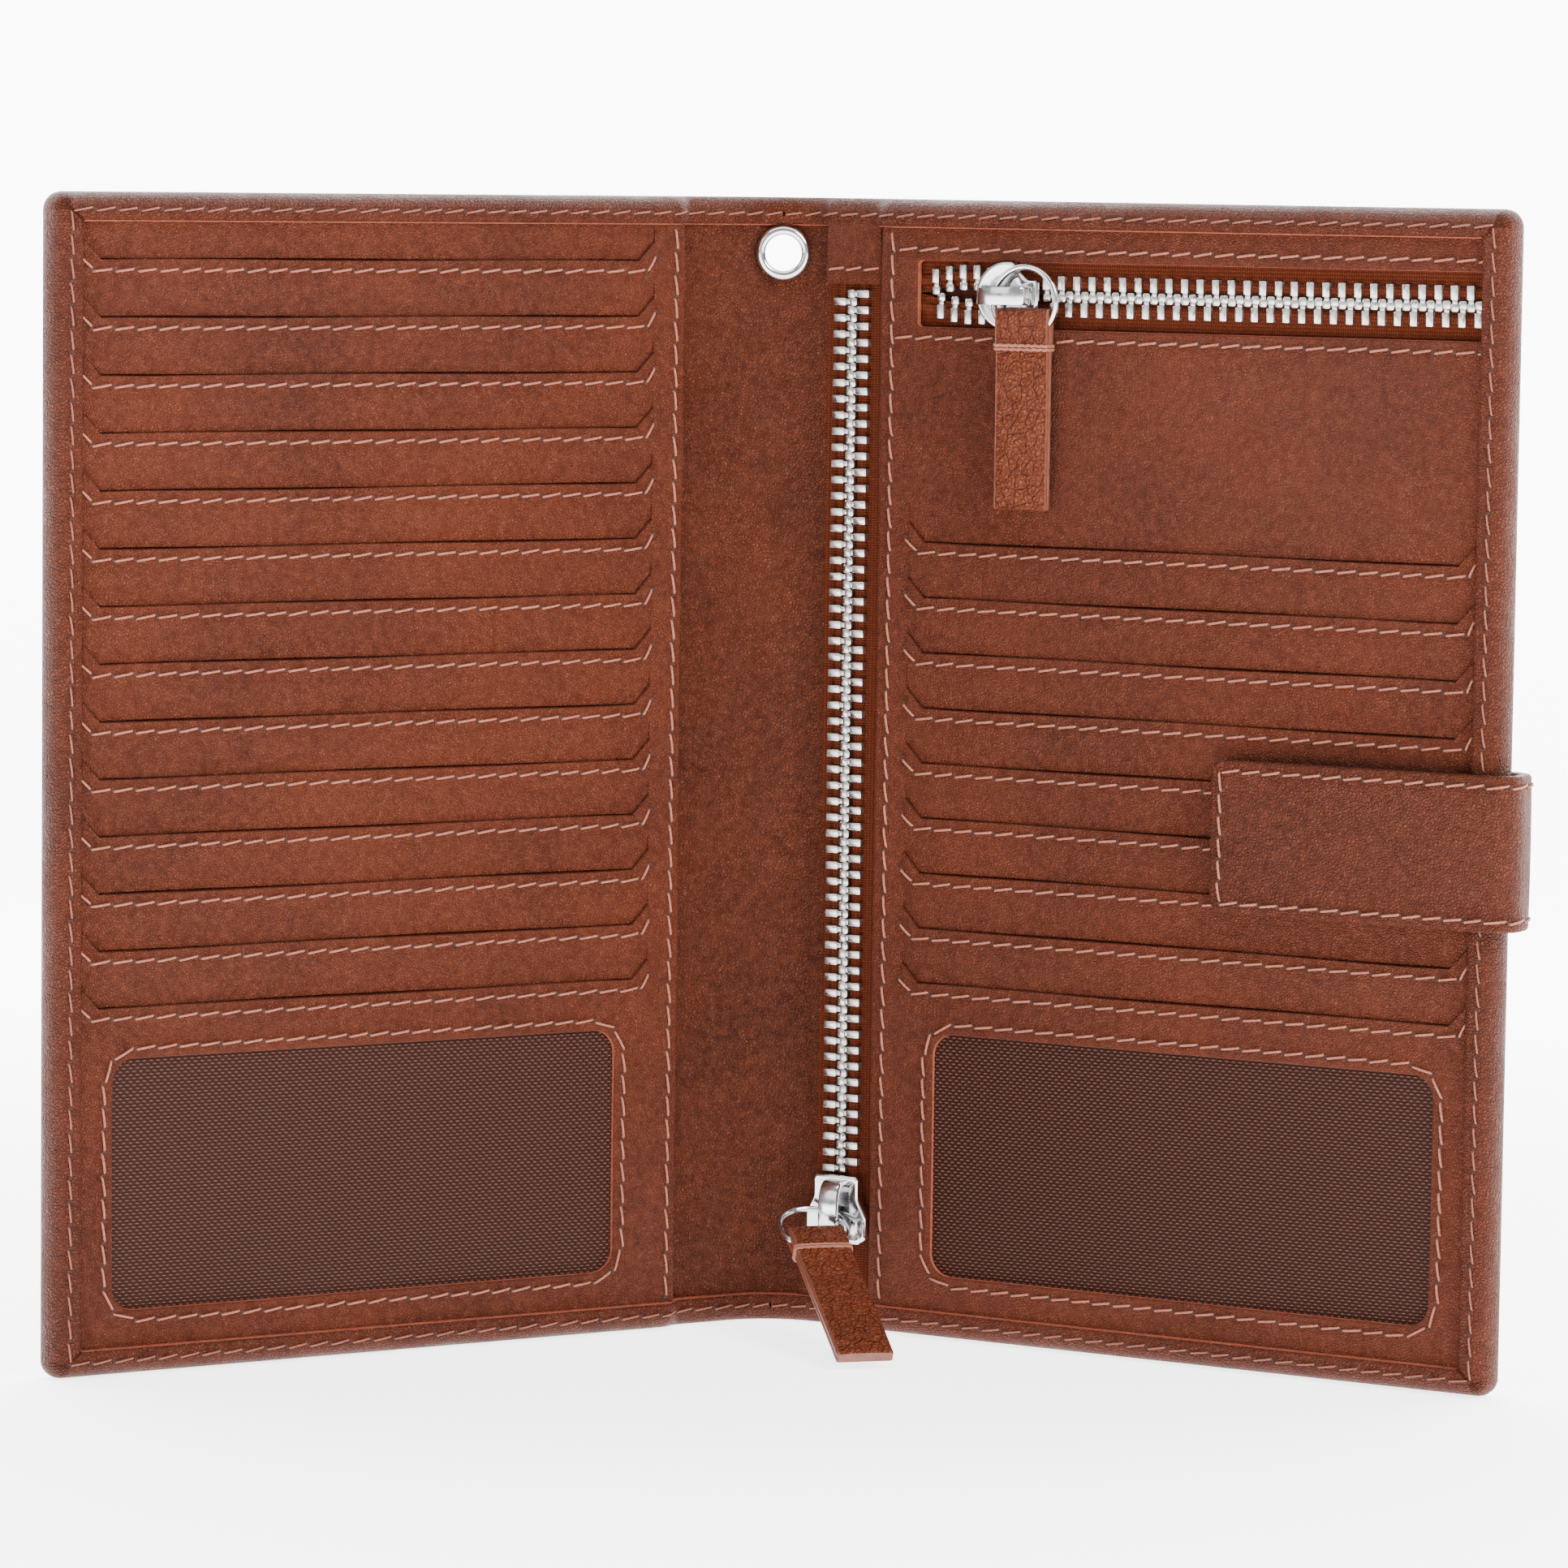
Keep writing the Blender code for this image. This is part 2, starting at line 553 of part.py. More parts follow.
def make_spine_pull():
    """The slider at the lower end of the spine zip; its strip leans forward on to the table."""
    up = Vector((0, 0, 1))
    across = BACK.axis.matrix_world.to_3x3() @ Vector((1, 0, 0))
    normal = BACK.axis.matrix_world.to_3x3() @ Vector((0, -1, 0))
    half = SLIDER_LENGTH / 2
    outline = [(-3.6, half), (-4.0, half - 2.2), (-3.4, half - 4.2), (-5.2, -1.6), (-5.35, -half + 3.0),
               (-3.6, -half), (3.6, -half), (5.35, -half + 3.0), (5.2, -1.6), (3.4, half - 4.2),
               (4.0, half - 2.2), (3.6, half)]
    plate_n = (ZIP_TEETH_N[1] + GAP, ZIP_TEETH_N[1] + GAP + SLIDER_THICK)
    slider = make_slider("spine_zip_slider", outline, 3.3, plate_n, 7.1, up, across, normal,
                         BACK.point(ZIP_U, 0, SPINE_SLIDER_Z))
    heading = math.radians(SPINE_PULL_HEADING)
    dip = math.radians(SPINE_PULL_DIP)
    pull_out = Vector((math.sin(heading) * math.cos(dip), -math.cos(heading) * math.cos(dip), -math.sin(dip)))
    pull_across = Vector((math.cos(heading), math.sin(heading), 0))
    turn = math.atan2(-pull_across.dot(normal), pull_out.dot(normal))
    ring_axis = pull_across * math.cos(turn) + pull_out * math.sin(turn)
    ring_out = pull_out * math.cos(turn) - pull_across * math.sin(turn)
    pivot = BACK.point(ZIP_U, *SPINE_PIVOT)
    make_pull("spine_zip", pivot, ring_axis, ring_out, turn, SPINE_PULL_LENGTH, slider)
    return pivot, ring_axis, ring_out


def make_coin_pull():
    """The slider near the closed end of the coin zip, with its strip hanging flat on the panel."""
    up = Vector((0, 0, 1))
    along = BACK.axis.matrix_world.to_3x3() @ Vector((1, 0, 0))
    normal = BACK.axis.matrix_world.to_3x3() @ Vector((0, -1, 0))
    half = SLIDER_LENGTH / 2
    nose = [(x, y) for y, x in arc(-half + 4.7, 0, 4.7, 90, 270, 22.5)]
    outline = nose + [(-4.7, -0.5), (-3.4, 1.6), (-3.8, half), (3.8, half), (3.4, 1.6), (4.7, -0.5)]
    plate_n = (COIN_TEETH_N[1] + GAP, COIN_TEETH_N[1] + GAP + SLIDER_THICK)
    slider = make_slider("coin_zip_slider", outline, 2.8, plate_n, 8.2, along, up * -1, normal,
                         BACK.point(COIN_SLIDER_U, 0, COIN_Z))
    pivot = BACK.point(*COIN_PIVOT)
    make_pull("coin_zip", pivot, up, along, -math.pi / 2, COIN_PULL_LENGTH, slider)
    return pivot


# ---- closing strap -------------------------------------------------------------------------------------------------
def make_strap():
    """The strap from the back cover's outer face, round the edge and back over the card panel."""
    low, high = STRAP_Z
    thick = STRAP_THICK
    outer = STRAP_U + 0.2 + thick
    BACK.plate("strap_anchor", [box_outline(ANCHOR_U, low, STRAP_U - 0.2, high)],
               (STRAP_ROOT_N - thick, STRAP_ROOT_N), leather("strap_anchor"))
    root_axis = empty("strap_root_axis", Matrix.Translation(BACK.point(STRAP_U, STRAP_ROOT_N, 0)), BACK.axis)
    BACK.plate("strap_edge", [box_outline(STRAP_U + 0.2, low, outer, high)],
               (STRAP_ROOT_N + 1.0, STRAP_BEND_N - 0.2), leather("strap_edge"), parent=root_axis)
    bend_axis = empty("strap_bend_axis", Matrix.Translation(BACK.point(STRAP_U, STRAP_BEND_N, 0)), root_axis)
    reach = STRAP_TIP_N - STRAP_BEND_N
    BACK.plate("strap_bridge", [box_outline(STRAP_U - reach + 0.2, low, STRAP_U - 0.2, high)],
               (STRAP_BEND_N, STRAP_BEND_N + thick), leather("strap_bridge"), parent=bend_axis)
    tip_axis = empty("strap_tip_axis", Matrix.Translation(BACK.point(STRAP_U - reach, STRAP_BEND_N, 0)), bend_axis)
    tab = [(STRAP_U - reach - 0.2, low), (STRAP_U - reach - 0.2, high)]
    tab += arc(STRAP_END_U + 2.5, high - 2.5, 2.5, 90, 180) + arc(STRAP_END_U + 2.5, low + 2.5, 2.5, 180, 270)
    magnet = (STRAP_END_U + MAGNET_FROM_TIP, (low + high) / 2)
    lining_n = (STRAP_BEND_N, STRAP_BEND_N + 0.5)
    BACK.plate("strap_tab", [tab], (lining_n[1] + GAP, STRAP_BEND_N + thick), leather("strap_tab"), parent=tip_axis)
    pocket = arc(*magnet, MAGNET_RADIUS + GAP, 0, 348, 12)
    BACK.plate("strap_tab_lining", [tab, pocket], lining_n, leather("strap_lining"), parent=tip_axis)
    BACK.plate("tab_magnet", [arc(*magnet, MAGNET_RADIUS, 0, 348, 12)], lining_n, metal("magnet"), parent=tip_axis)


LEFT_SLITS = range(SLIT_COUNT)
RIGHT_SLITS = range(RIGHT_FIRST_SLIT, SLIT_COUNT)
make_spine()
make_eyelet()
make_cover(FRONT)
make_cover(BACK)
make_boards()
make_panel(FRONT, "left", LEFT_SLITS, [])
make_panel(BACK, "right", RIGHT_SLITS, [rounded(*COIN_WINDOW, 0.6)])
make_pockets(FRONT, "left", LEFT_SLITS)
make_pockets(BACK, "right", RIGHT_SLITS)
make_spine_zip()
make_coin_zip()
make_spine_pull()
make_coin_pull()
make_strap()
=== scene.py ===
"""Looks of the travel document organizer: an open leather travel wallet that stands like a book.

Sizes are in millimetres until a mesh is built.  A place on the open wallet is (side, u, n, z): side is
-1 for the front cover and 1 for the back cover, u runs from the fold outward and below 0 goes on over
the curved spine, n runs inward from the inner face of the cover leather, and z runs up.
"""
import math

import bmesh
import bpy
import numpy as np
from mathutils import Matrix, Vector

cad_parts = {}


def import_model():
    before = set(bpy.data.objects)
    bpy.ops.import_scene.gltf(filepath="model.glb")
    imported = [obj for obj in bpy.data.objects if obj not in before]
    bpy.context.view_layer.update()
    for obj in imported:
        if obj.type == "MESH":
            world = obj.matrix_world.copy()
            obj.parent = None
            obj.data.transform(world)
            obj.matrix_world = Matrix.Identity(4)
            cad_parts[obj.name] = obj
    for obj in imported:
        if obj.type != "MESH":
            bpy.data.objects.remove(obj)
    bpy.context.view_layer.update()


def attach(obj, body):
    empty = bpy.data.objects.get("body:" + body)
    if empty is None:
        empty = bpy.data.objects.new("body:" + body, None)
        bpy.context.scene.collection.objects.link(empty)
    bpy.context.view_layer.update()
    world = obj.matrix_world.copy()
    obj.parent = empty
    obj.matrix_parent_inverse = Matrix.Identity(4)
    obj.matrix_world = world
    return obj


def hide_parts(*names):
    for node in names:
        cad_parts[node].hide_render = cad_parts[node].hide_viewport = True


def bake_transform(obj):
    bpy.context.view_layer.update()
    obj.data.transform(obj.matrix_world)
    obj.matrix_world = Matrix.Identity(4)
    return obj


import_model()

MM = 0.001
LEVEL_POINTS = 104
SIDE_POINTS = 70
CORNER_POINTS = 42
HEIGHT = 190.0
WIDTH = 125.5
FOLD = math.radians(29.5)
BOW = 8.0 / math.sin(FOLD)
MIDDLE_U = -BOW * FOLD
FRONT, BACK = -1, 1

# layers, as n
OUTER_N = -1.0
LINING_N = 1.2
FACE_N = 3.9
HEM_N = 5.0
CORNER = 3.0

# card panels
PANEL_EDGE = 11.6
PANEL_BOX = (12.4, 1.6, 123.9, 188.4)
WINDOW = (23.5, 10.6, 114.4, 51.4)
WINDOW_RADIUS = 3.8
COIN_WINDOW = (18.7, 169.0, 120.3, 180.0)
SLIT_TOP = 179.4
SLIT_STEP = 9.2
SLIT_U = (20.5, 117.0)
SLIT_FLARE = (3.0, 3.2)
LOWEST_ROW = 55.4
BLANK_TOP = 166.0

# hidden plates
BOARD_BOX = (1.8, 1.6, 124.0, 188.4)
KEEPER_BOX = (88.2, 78.0, 108.2, 98.0)
BAG_BOX = (19.5, 136.0, 119.0, 168.4)

# zips
ZIP_U = 5.4
ZIP_Z = (26.2, 175.4)
ZIP_PITCH = 2.7
COIN_Z = 174.5
COIN_PITCH = 2.8
CHAIN_HALF = 3.3

EYELET_Z = 180.7
EYELET_HOLE = 3.5
EYELET_RIM = 3.8
EYELET_CLEAR = 4.4
PITCH = 3.8
THREAD = 0.21
HEM_THREAD = 0.17
RANDOM = np.random.default_rng(11)


# ---- places ---------------------------------------------------------------------------------------
def world(side, u, n, z):
    """Where places on the open wallet are, in metres."""
    u, n, z = np.broadcast_arrays(np.asarray(u, float), np.asarray(n, float), np.asarray(z, float))
    turn = FOLD + np.minimum(u, 0.0) / BOW
    run = np.maximum(u, 0.0)
    x = side * ((BOW - n) * np.sin(turn) + run * math.cos(FOLD))
    y = (BOW - n) * np.cos(turn) - BOW * math.cos(FOLD) - run * math.sin(FOLD)
    return np.stack([x, y, z], -1) * MM


def point(side, u, n, z):
    return Vector(world(side, u, n, z).tolist())


def ease(value, low, high):
    """0 up to low, 1 from high on, and smooth between."""
    t = np.clip((np.asarray(value, float) - low) / (high - low), 0.0, 1.0)
    return t * t * (3 - 2 * t)


def inward(side):
    """The direction that the inside of a cover faces."""
    return Vector((-side * math.sin(FOLD), -math.cos(FOLD), 0.0))


# ---- meshes ---------------------------------------------------------------------------------------
def patches(faces):
    """Groups of faces that are joined along edges."""
    seen = set()
    for start in faces:
        if start.index in seen:
            continue
        seen.add(start.index)
        group = [start]
        for face in group:
            for edge in face.edges:
                for other in edge.link_faces:
                    if other.index not in seen:
                        seen.add(other.index)
                        group.append(other)
        yield group


class Work:
    """The patches of one mesh, kept until they are joined."""

    def __init__(self):
        self.points = []
        self.flat = []
        self.faces = []
        self.paint = []
        self.count = 0

    def add(self, points, flat, faces, paint=0):
        points = np.asarray(points, float).reshape(-1, 3)
        self.points.append(points)
        self.flat.append(np.asarray(flat, float).reshape(-1, 2))
        self.faces.extend([[int(v) + self.count for v in face] for face in faces])
        self.paint.extend([paint] * len(faces))
        self.count += len(points)

    def grid(self, points, flat, around=False, closed=False, paint=0):
        """Quads between rows of points.

        around joins each row's ends, and closed joins the last row to the first.
        """
        rows, cols = points.shape[:2]
        index = np.arange(rows * cols).reshape(rows, cols)
        if closed:
            index = np.vstack([index, index[:1]])
        if around:
            index = np.hstack([index, index[:, :1]])
        quads = np.stack([index[:-1, :-1], index[1:, :-1], index[1:, 1:], index[:-1, 1:]], -1).reshape(-1, 4)
        self.add(points, flat, quads, paint)

    def tube(self, rings, flat, paint=0, caps=True):
        """A closed tube through rings of points, with its ends filled."""
        self.grid(rings, flat, around=True, paint=paint)
        if caps:
            size = rings.shape[1]
            for ring, coords in ((rings[0], flat[0]), (rings[-1], flat[-1])):
                self.add(ring, coords, [list(range(size))], paint)

    def solid(self, place, rings, paint=0, caps=True):
        """A closed tube through rings of (across, n, along) places."""
        self.tube(place(*np.moveaxis(rings, -1, 0)), rings[..., [0, 2]], paint, caps)

    def build(self, name, materials, facing=None, sharp=38.0, merge=0.004):
        mesh = bpy.data.meshes.new(name)
        mesh.from_pydata(np.concatenate(self.points).tolist(), [], self.faces)
        flat = np.concatenate(self.flat)
        corners = np.empty(len(mesh.loops), int)
        mesh.loops.foreach_get("vertex_index", corners)
        layer = mesh.uv_layers.new(name="flat")
        layer.data.foreach_set("uv", flat[corners].ravel())
        for material in materials:
            mesh.materials.append(material)
        mesh.polygons.foreach_set("material_index", self.paint)
        work = bmesh.new()
        work.from_mesh(mesh)
        bmesh.ops.remove_doubles(work, verts=work.verts, dist=merge * MM)
        bmesh.ops.recalc_face_normals(work, faces=work.faces)
        if facing is not None:
            work.faces.index_update()
            for patch in patches(work.faces):
                total = Vector((0, 0, 0))
                for face in patch:
                    total += face.normal * face.calc_area()
                if total.dot(facing) < 0:
                    bmesh.ops.reverse_faces(work, faces=patch)
        work.to_mesh(mesh)
        work.free()
        mesh.shade_smooth()
        mesh.set_sharp_from_angle(angle=math.radians(sharp))
        piece = bpy.data.objects.new(name, mesh)
        bpy.context.scene.collection.objects.link(piece)
        return piece


def flat_of(u, z):
    """A piece's flat coordinates, in millimetres."""
    u, z = np.broadcast_arrays(u, z)
    return np.stack([u, z], -1)


def mesh_of(first, second):
    """Two grids of places, with first along the rows and second along the columns."""
    return np.meshgrid(first, second, indexing="ij")


def join(piece, slot, body, *nodes):
    """Put a piece on a body, in place of the CAD's nodes.  slot is not used."""
    if nodes:
        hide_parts(*nodes)
    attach(piece, body)


# ---- materials ------------------------------------------------------------------------------------
class Look:
    """A node material under construction."""

    def __init__(self, name):
        self.material = bpy.data.materials.new(name)
        self.material.use_nodes = True
        self.tree = self.material.node_tree
        self.shader = self.tree.nodes["Principled BSDF"]
        self.where = self.node("ShaderNodeTexCoord")["Object"]

    def feed(self, socket, value):
        """Link a socket to another one, or give it a plain value."""
        if isinstance(value, bpy.types.NodeSocket):
            self.tree.links.new(value, socket)
        else:
            socket.default_value = value

    def node(self, kind, inputs=None, **settings):
        made = self.tree.nodes.new(kind)
        for key, value in settings.items():
            setattr(made, key, value)
        for key, value in (inputs or {}).items():
            self.feed(made.inputs[key], value)
        return made.outputs

    def noise(self, scale, detail=2.0, rough=0.5, vector=None):
        inputs = {"Vector": vector or self.where, "Scale": scale, "Detail": detail, "Roughness": rough}
        return self.node("ShaderNodeTexNoise", inputs)["Fac"]

    def stretch(self, value, low, high, to_low=0.0, to_high=1.0):
        inputs = {"Value": value, "From Min": low, "From Max": high, "To Min": to_low, "To Max": to_high}
        return self.node("ShaderNodeMapRange", inputs)["Result"]

    def mix(self, amount, first, second):
        made = self.tree.nodes.new("ShaderNodeMix")
        made.data_type = "RGBA"
        for socket, value in zip((made.inputs[0], made.inputs[6], made.inputs[7]), (amount, first, second)):
            self.feed(socket, (*value, 1.0) if isinstance(value, tuple) else value)
        return made.outputs[2]

    def maths(self, operation, first, second=0.0):
        made = self.tree.nodes.new("ShaderNodeMath")
        made.operation = operation
        for socket, value in zip(made.inputs, (first, second)):
            self.feed(socket, value)
        return made.outputs[0]

    def bump(self, height, strength, distance, normal=None):
        inputs = {"Height": height, "Strength": strength, "Distance": distance}
        if normal is not None:
            inputs["Normal"] = normal
        return self.node("ShaderNodeBump", inputs)["Normal"]

    def set(self, **values):
        for key, value in values.items():
            self.feed(self.shader.inputs[key.replace("_", " ")], value)
        return self.material


def leather(name, deep, warm, pale, pebble=2100.0, depth=0.00011, crease=0.3, rough=(0.42, 0.62)):
    """Grained leather: cloudy colour, small pebbles with painted shade in the hollows between them, fine
    creases and an uneven sheen.
    """
    look = Look(name)
    cloud = look.stretch(look.noise(28.0, 5.0, 0.62), 0.32, 0.68)
    speck = look.stretch(look.noise(650.0, 3.0, 0.6), 0.3, 0.72)
    cells = look.node("ShaderNodeTexVoronoi", {"Vector": look.where, "Scale": pebble},
                      feature="DISTANCE_TO_EDGE")["Distance"]
    rise = look.stretch(cells, 0.0, 0.28)
    folds = look.node("ShaderNodeTexVoronoi", {"Vector": look.where, "Scale": pebble * 0.34},
                      feature="DISTANCE_TO_EDGE")["Distance"]
    fold = look.stretch(folds, 0.0, 0.09)
    colour = look.mix(cloud, deep, warm)
    colour = look.mix(look.maths("MULTIPLY", speck, 0.34), colour, pale)
    # Painted shade: the hollows between the pebbles are darkened towards the deep colour.
    shade = look.maths("MULTIPLY", look.maths("SUBTRACT", 1.0, rise), 0.42)
    colour = look.mix(shade, colour, deep)
    height = look.maths("ADD", rise, look.maths("MULTIPLY", fold, crease))
    height = look.maths("ADD", height, look.maths("MULTIPLY", look.noise(420.0, 4.0, 0.6), 1.3))
    normal = look.bump(height, 1.0, depth * 2.2)
    normal = look.bump(look.noise(45.0, 3.0), 0.25, 0.0006, normal)
    sheen = look.stretch(look.noise(90.0, 4.0, 0.6), 0.3, 0.7, *rough)
    look.set(Base_Color=colour, Roughness=sheen, Normal=normal)
    look.shader.inputs["Specular IOR Level"].default_value = 0.16
    return look.material


def plain(name, colour, other, scale, roughness, metallic=0.0, depth=0.00004):
    """A finish with a little grain in its colour and surface."""
    look = Look(name)
    grain = look.noise(scale, 3.0)
    look.set(Base_Color=look.mix(look.stretch(grain, 0.3, 0.7), colour, other), Roughness=roughness,
             Metallic=metallic, Normal=look.bump(grain, 0.3, depth))
    return look.material


def woven(name, colour, dark, pitch, depth, rough, slope=0.0, painted_glint=0.0):
    """Cloth drawn in the piece's flat coordinates, which are in millimetres."""
    look = Look(name)
    flat = look.node("ShaderNodeUVMap", uv_map="flat")["UV"]
    split = look.node("ShaderNodeSeparateXYZ", {"Vector": flat})
    across = look.maths("MULTIPLY", split["X"], 1.0 / pitch[0])
    along = look.maths("MULTIPLY", split["Y"], 1.0 / pitch[1])
    shift = look.maths("ADD", across, look.maths("MULTIPLY", along, slope))
    row = look.maths("FLOOR", along)
    offset = look.maths("MULTIPLY", row, 0.5)
    thread = look.maths("PINGPONG", look.maths("ADD", shift, offset), 0.5)
    weft = look.maths("PINGPONG", along, 0.5)
    height = look.maths("MULTIPLY", look.stretch(thread, 0.0, 0.4), look.stretch(weft, 0.0, 0.35))
    # Painted shade: the colour goes to dark where the threads dip between one another.
    colour_out = look.mix(height, dark, colour)
    # Painted highlight: small light glints on the threads, mixed in as colour.
    if painted_glint:
        glint_mask = look.maths("MULTIPLY", look.stretch(thread, 0.26, 0.4), look.stretch(weft, 0.36, 0.44))
        colour_out = look.mix(look.maths("MULTIPLY", glint_mask, painted_glint), colour_out, (0.24, 0.115, 0.075))
    look.set(Base_Color=colour_out, Roughness=rough, Normal=look.bump(height, 0.9, depth))
    look.shader.inputs["Specular IOR Level"].default_value = 0.10
    return look.material


def metal(name, colour, rough):
    look = Look(name)
    smear = look.stretch(look.noise(700.0, 3.0), 0.3, 0.7, rough * 0.6, rough * 1.5)
    tint = look.mix(look.stretch(look.noise(300.0, 2.0), 0.3, 0.7), colour, tuple(c * 0.9 for c in colour))
    look.set(Base_Color=tint, Roughness=smear, Metallic=1.0,
             Normal=look.bump(look.noise(500.0, 2.0), 0.05, 0.00001))
    return look.material


DEEP = (0.046, 0.0074, 0.0022)
WARM = (0.088, 0.0158, 0.0048)
PALE = (0.20, 0.050, 0.021)
COVER = leather("cover_leather", DEEP, WARM, PALE, pebble=1900.0, depth=0.00014, crease=0.5)
PANEL = leather("panel_leather", DEEP, WARM, PALE, pebble=2300.0, depth=0.00009)
SPINE = leather("spine_leather", (0.032, 0.0055, 0.0018), (0.078, 0.0145, 0.0045), PALE, pebble=2000.0,
                crease=0.5)
PULLER = leather("puller_leather", (0.062, 0.0100, 0.0030), (0.140, 0.0255, 0.0072), (0.30, 0.085, 0.036),
                 pebble=1300.0, depth=0.00013, crease=1.3, rough=(0.36, 0.55))
EDGE = plain("raw_edge", (0.165, 0.029, 0.010), (0.25, 0.056, 0.024), 900.0, 0.7)
PAINTED = plain("painted_edge", (0.10, 0.024, 0.010), (0.15, 0.042, 0.020), 800.0, 0.5)
STRING = plain("thread", (0.20, 0.056, 0.031), (0.31, 0.110, 0.068), 2600.0, 0.6, depth=0.0001)
HEM_STRING = plain("hem_thread", (0.135, 0.033, 0.0165), (0.21, 0.065, 0.038), 2600.0, 0.6, depth=0.0001)
# Painted shade: dark discs that stand for the shadow inside the needle holes.
HOLE_SHADE = plain("needle_hole_shade", (0.018, 0.005, 0.003), (0.03, 0.008, 0.005), 900.0, 0.9)
TAPE = woven("zip_tape", (0.135, 0.026, 0.0080), (0.045, 0.0075, 0.0025), (0.62, 0.42), 0.00022, 0.8,
             slope=0.5)
MESH = woven("window_mesh", (0.050, 0.0115, 0.0058), (0.010, 0.0025, 0.0012), (1.2, 0.55), 0.0002, 0.42,
             painted_glint=0.55)
CLOTH = woven("pocket_cloth", (0.05, 0.012, 0.005), (0.02, 0.005, 0.0025), (0.5, 0.5), 0.0001, 0.9)
TOOTH = metal("zip_teeth", (0.60, 0.59, 0.57), 0.34)
CHROME = metal("chrome", (0.66, 0.66, 0.67), 0.13)
CARD = plain("board", (0.33, 0.25, 0.17), (0.42, 0.33, 0.23), 700.0, 0.9)
STEEL = metal("keeper_steel", (0.5, 0.5, 0.5), 0.4)


# ---- stitches -------------------------------------------------------------------------------------
def sew(work, place, path, height=0.0, slant=1.0, pitch=PITCH, thick=THREAD):
    """Lay slanted stitches along a path of (across, up) points, each with a dark disc of painted shade at its
    needle hole.

    place turns across, height and up into metres.
    """
    path = np.asarray(path, float)
    turn = np.linspace(0, 2 * math.pi, 6, endpoint=False)
    stations = np.array([0.03, 0.14, 0.5, 0.86, 0.97])
    arch = np.array([-0.3, 0.10, 0.19, 0.12, -0.3])
    lean = slant * np.array([-0.26, -0.20, 0.0, 0.20, 0.26])
    for first, last in zip(path[:-1], path[1:]):
        length = float(np.linalg.norm(last - first))
        count = max(1, round(length / pitch))
        along = (last - first) / length
        side = np.array([-along[1], along[0]])
        for k in range(count):
            start = first + (last - first) * k / count
            step = length / count
            tight = 1.0 + RANDOM.uniform(-0.25, 0.25)
            line = start + np.outer(stations * step, along) + np.outer(lean * tight, side)
            flat = line[:, None, :] + thick * np.cos(turn)[None, :, None] * side
            lift = height + arch[:, None] + thick * np.sin(turn)[None, :]
            work.grid(place(flat[..., 0], lift, flat[..., 1]), flat, around=True)
            # Each needle hole is a dark oval laid on the surface: painted shade.
            hole_turn = np.linspace(0, 2 * math.pi, 8, endpoint=False)
            tip = start + side * RANDOM.uniform(-0.04, 0.04)
            oval = tip + np.outer(0.21 * np.cos(hole_turn), along) + np.outer(0.48 * np.sin(hole_turn), side)
            work.add(place(oval[:, 0], height + 0.07, oval[:, 1]), oval, [list(range(8))], 1)


def on_cover(side, rise=None):
    """A placing function for one cover.  rise gives the surface height where it changes."""
    def place(u, n, z):
        return world(side, u, n if rise is None else n + rise(u, z), z)
    return place


def bend_over_fold(piece, side, body, end_u):
    """Bake a piece's transform into its mesh."""
    point(side, -5.0, 1.0, 95)
    point(side, end_u, 1.0, 95)
    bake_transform(piece)


# ---- cover leather --------------------------------------------------------------------------------
def hem_top(side, u, z):
    """n of the turned hem: low over the spine, higher where the card panel runs under it."""
    on_panel = ease(u, 9.4, 13.2)
    if side == FRONT:
        return 2.4 + (HEM_N - 2.4) * on_panel
    tab = 0.8 * ease(u, 0.1, 1.3) * ease(z, 90.0, 100.0)
    return 2.4 + tab + (HEM_N - 2.4 - tab) * on_panel


def edge_loop(side_inset, end_inset):
    """u and z along the edge at an inset, from the middle of the spine round to it again."""
    radius = max(CORNER - side_inset, 0.35)
    middle_u = WIDTH - side_inset - radius
    low, high = end_inset + radius, HEIGHT - end_inset - radius
    near = np.linspace(0, 0.18, LEVEL_POINTS - 70, endpoint=False)
    share = np.concatenate([near, np.linspace(0.18, 1, 70)])
    level = MIDDLE_U + (middle_u - MIDDLE_U) * share
    swing = np.radians(np.linspace(90, 0, CORNER_POINTS))
    drop = np.linspace(high, low, SIDE_POINTS)
    u = np.concatenate([level, middle_u + radius * np.cos(swing), np.full(SIDE_POINTS, middle_u + radius),
                        middle_u + radius * np.cos(swing[::-1]), level[::-1]])
    z = np.concatenate([np.full(LEVEL_POINTS, high + radius), high + radius * np.sin(swing), drop,
                        low - radius * np.sin(swing[::-1]), np.full(LEVEL_POINTS, low - radius)])
    return u, z


def pleats():
    """How much the hem sinks along an edge loop: grooves fan out round the two outer corners."""
    fan = np.radians(np.linspace(0, 90, CORNER_POINTS))
    groove = 1.7 * (1 - np.abs(np.sin(14 * fan + 0.35 * np.sin(9 * fan)))) ** 3
    rest = np.zeros(LEVEL_POINTS)
    return np.concatenate([rest, groove, np.zeros(SIDE_POINTS), groove, rest])


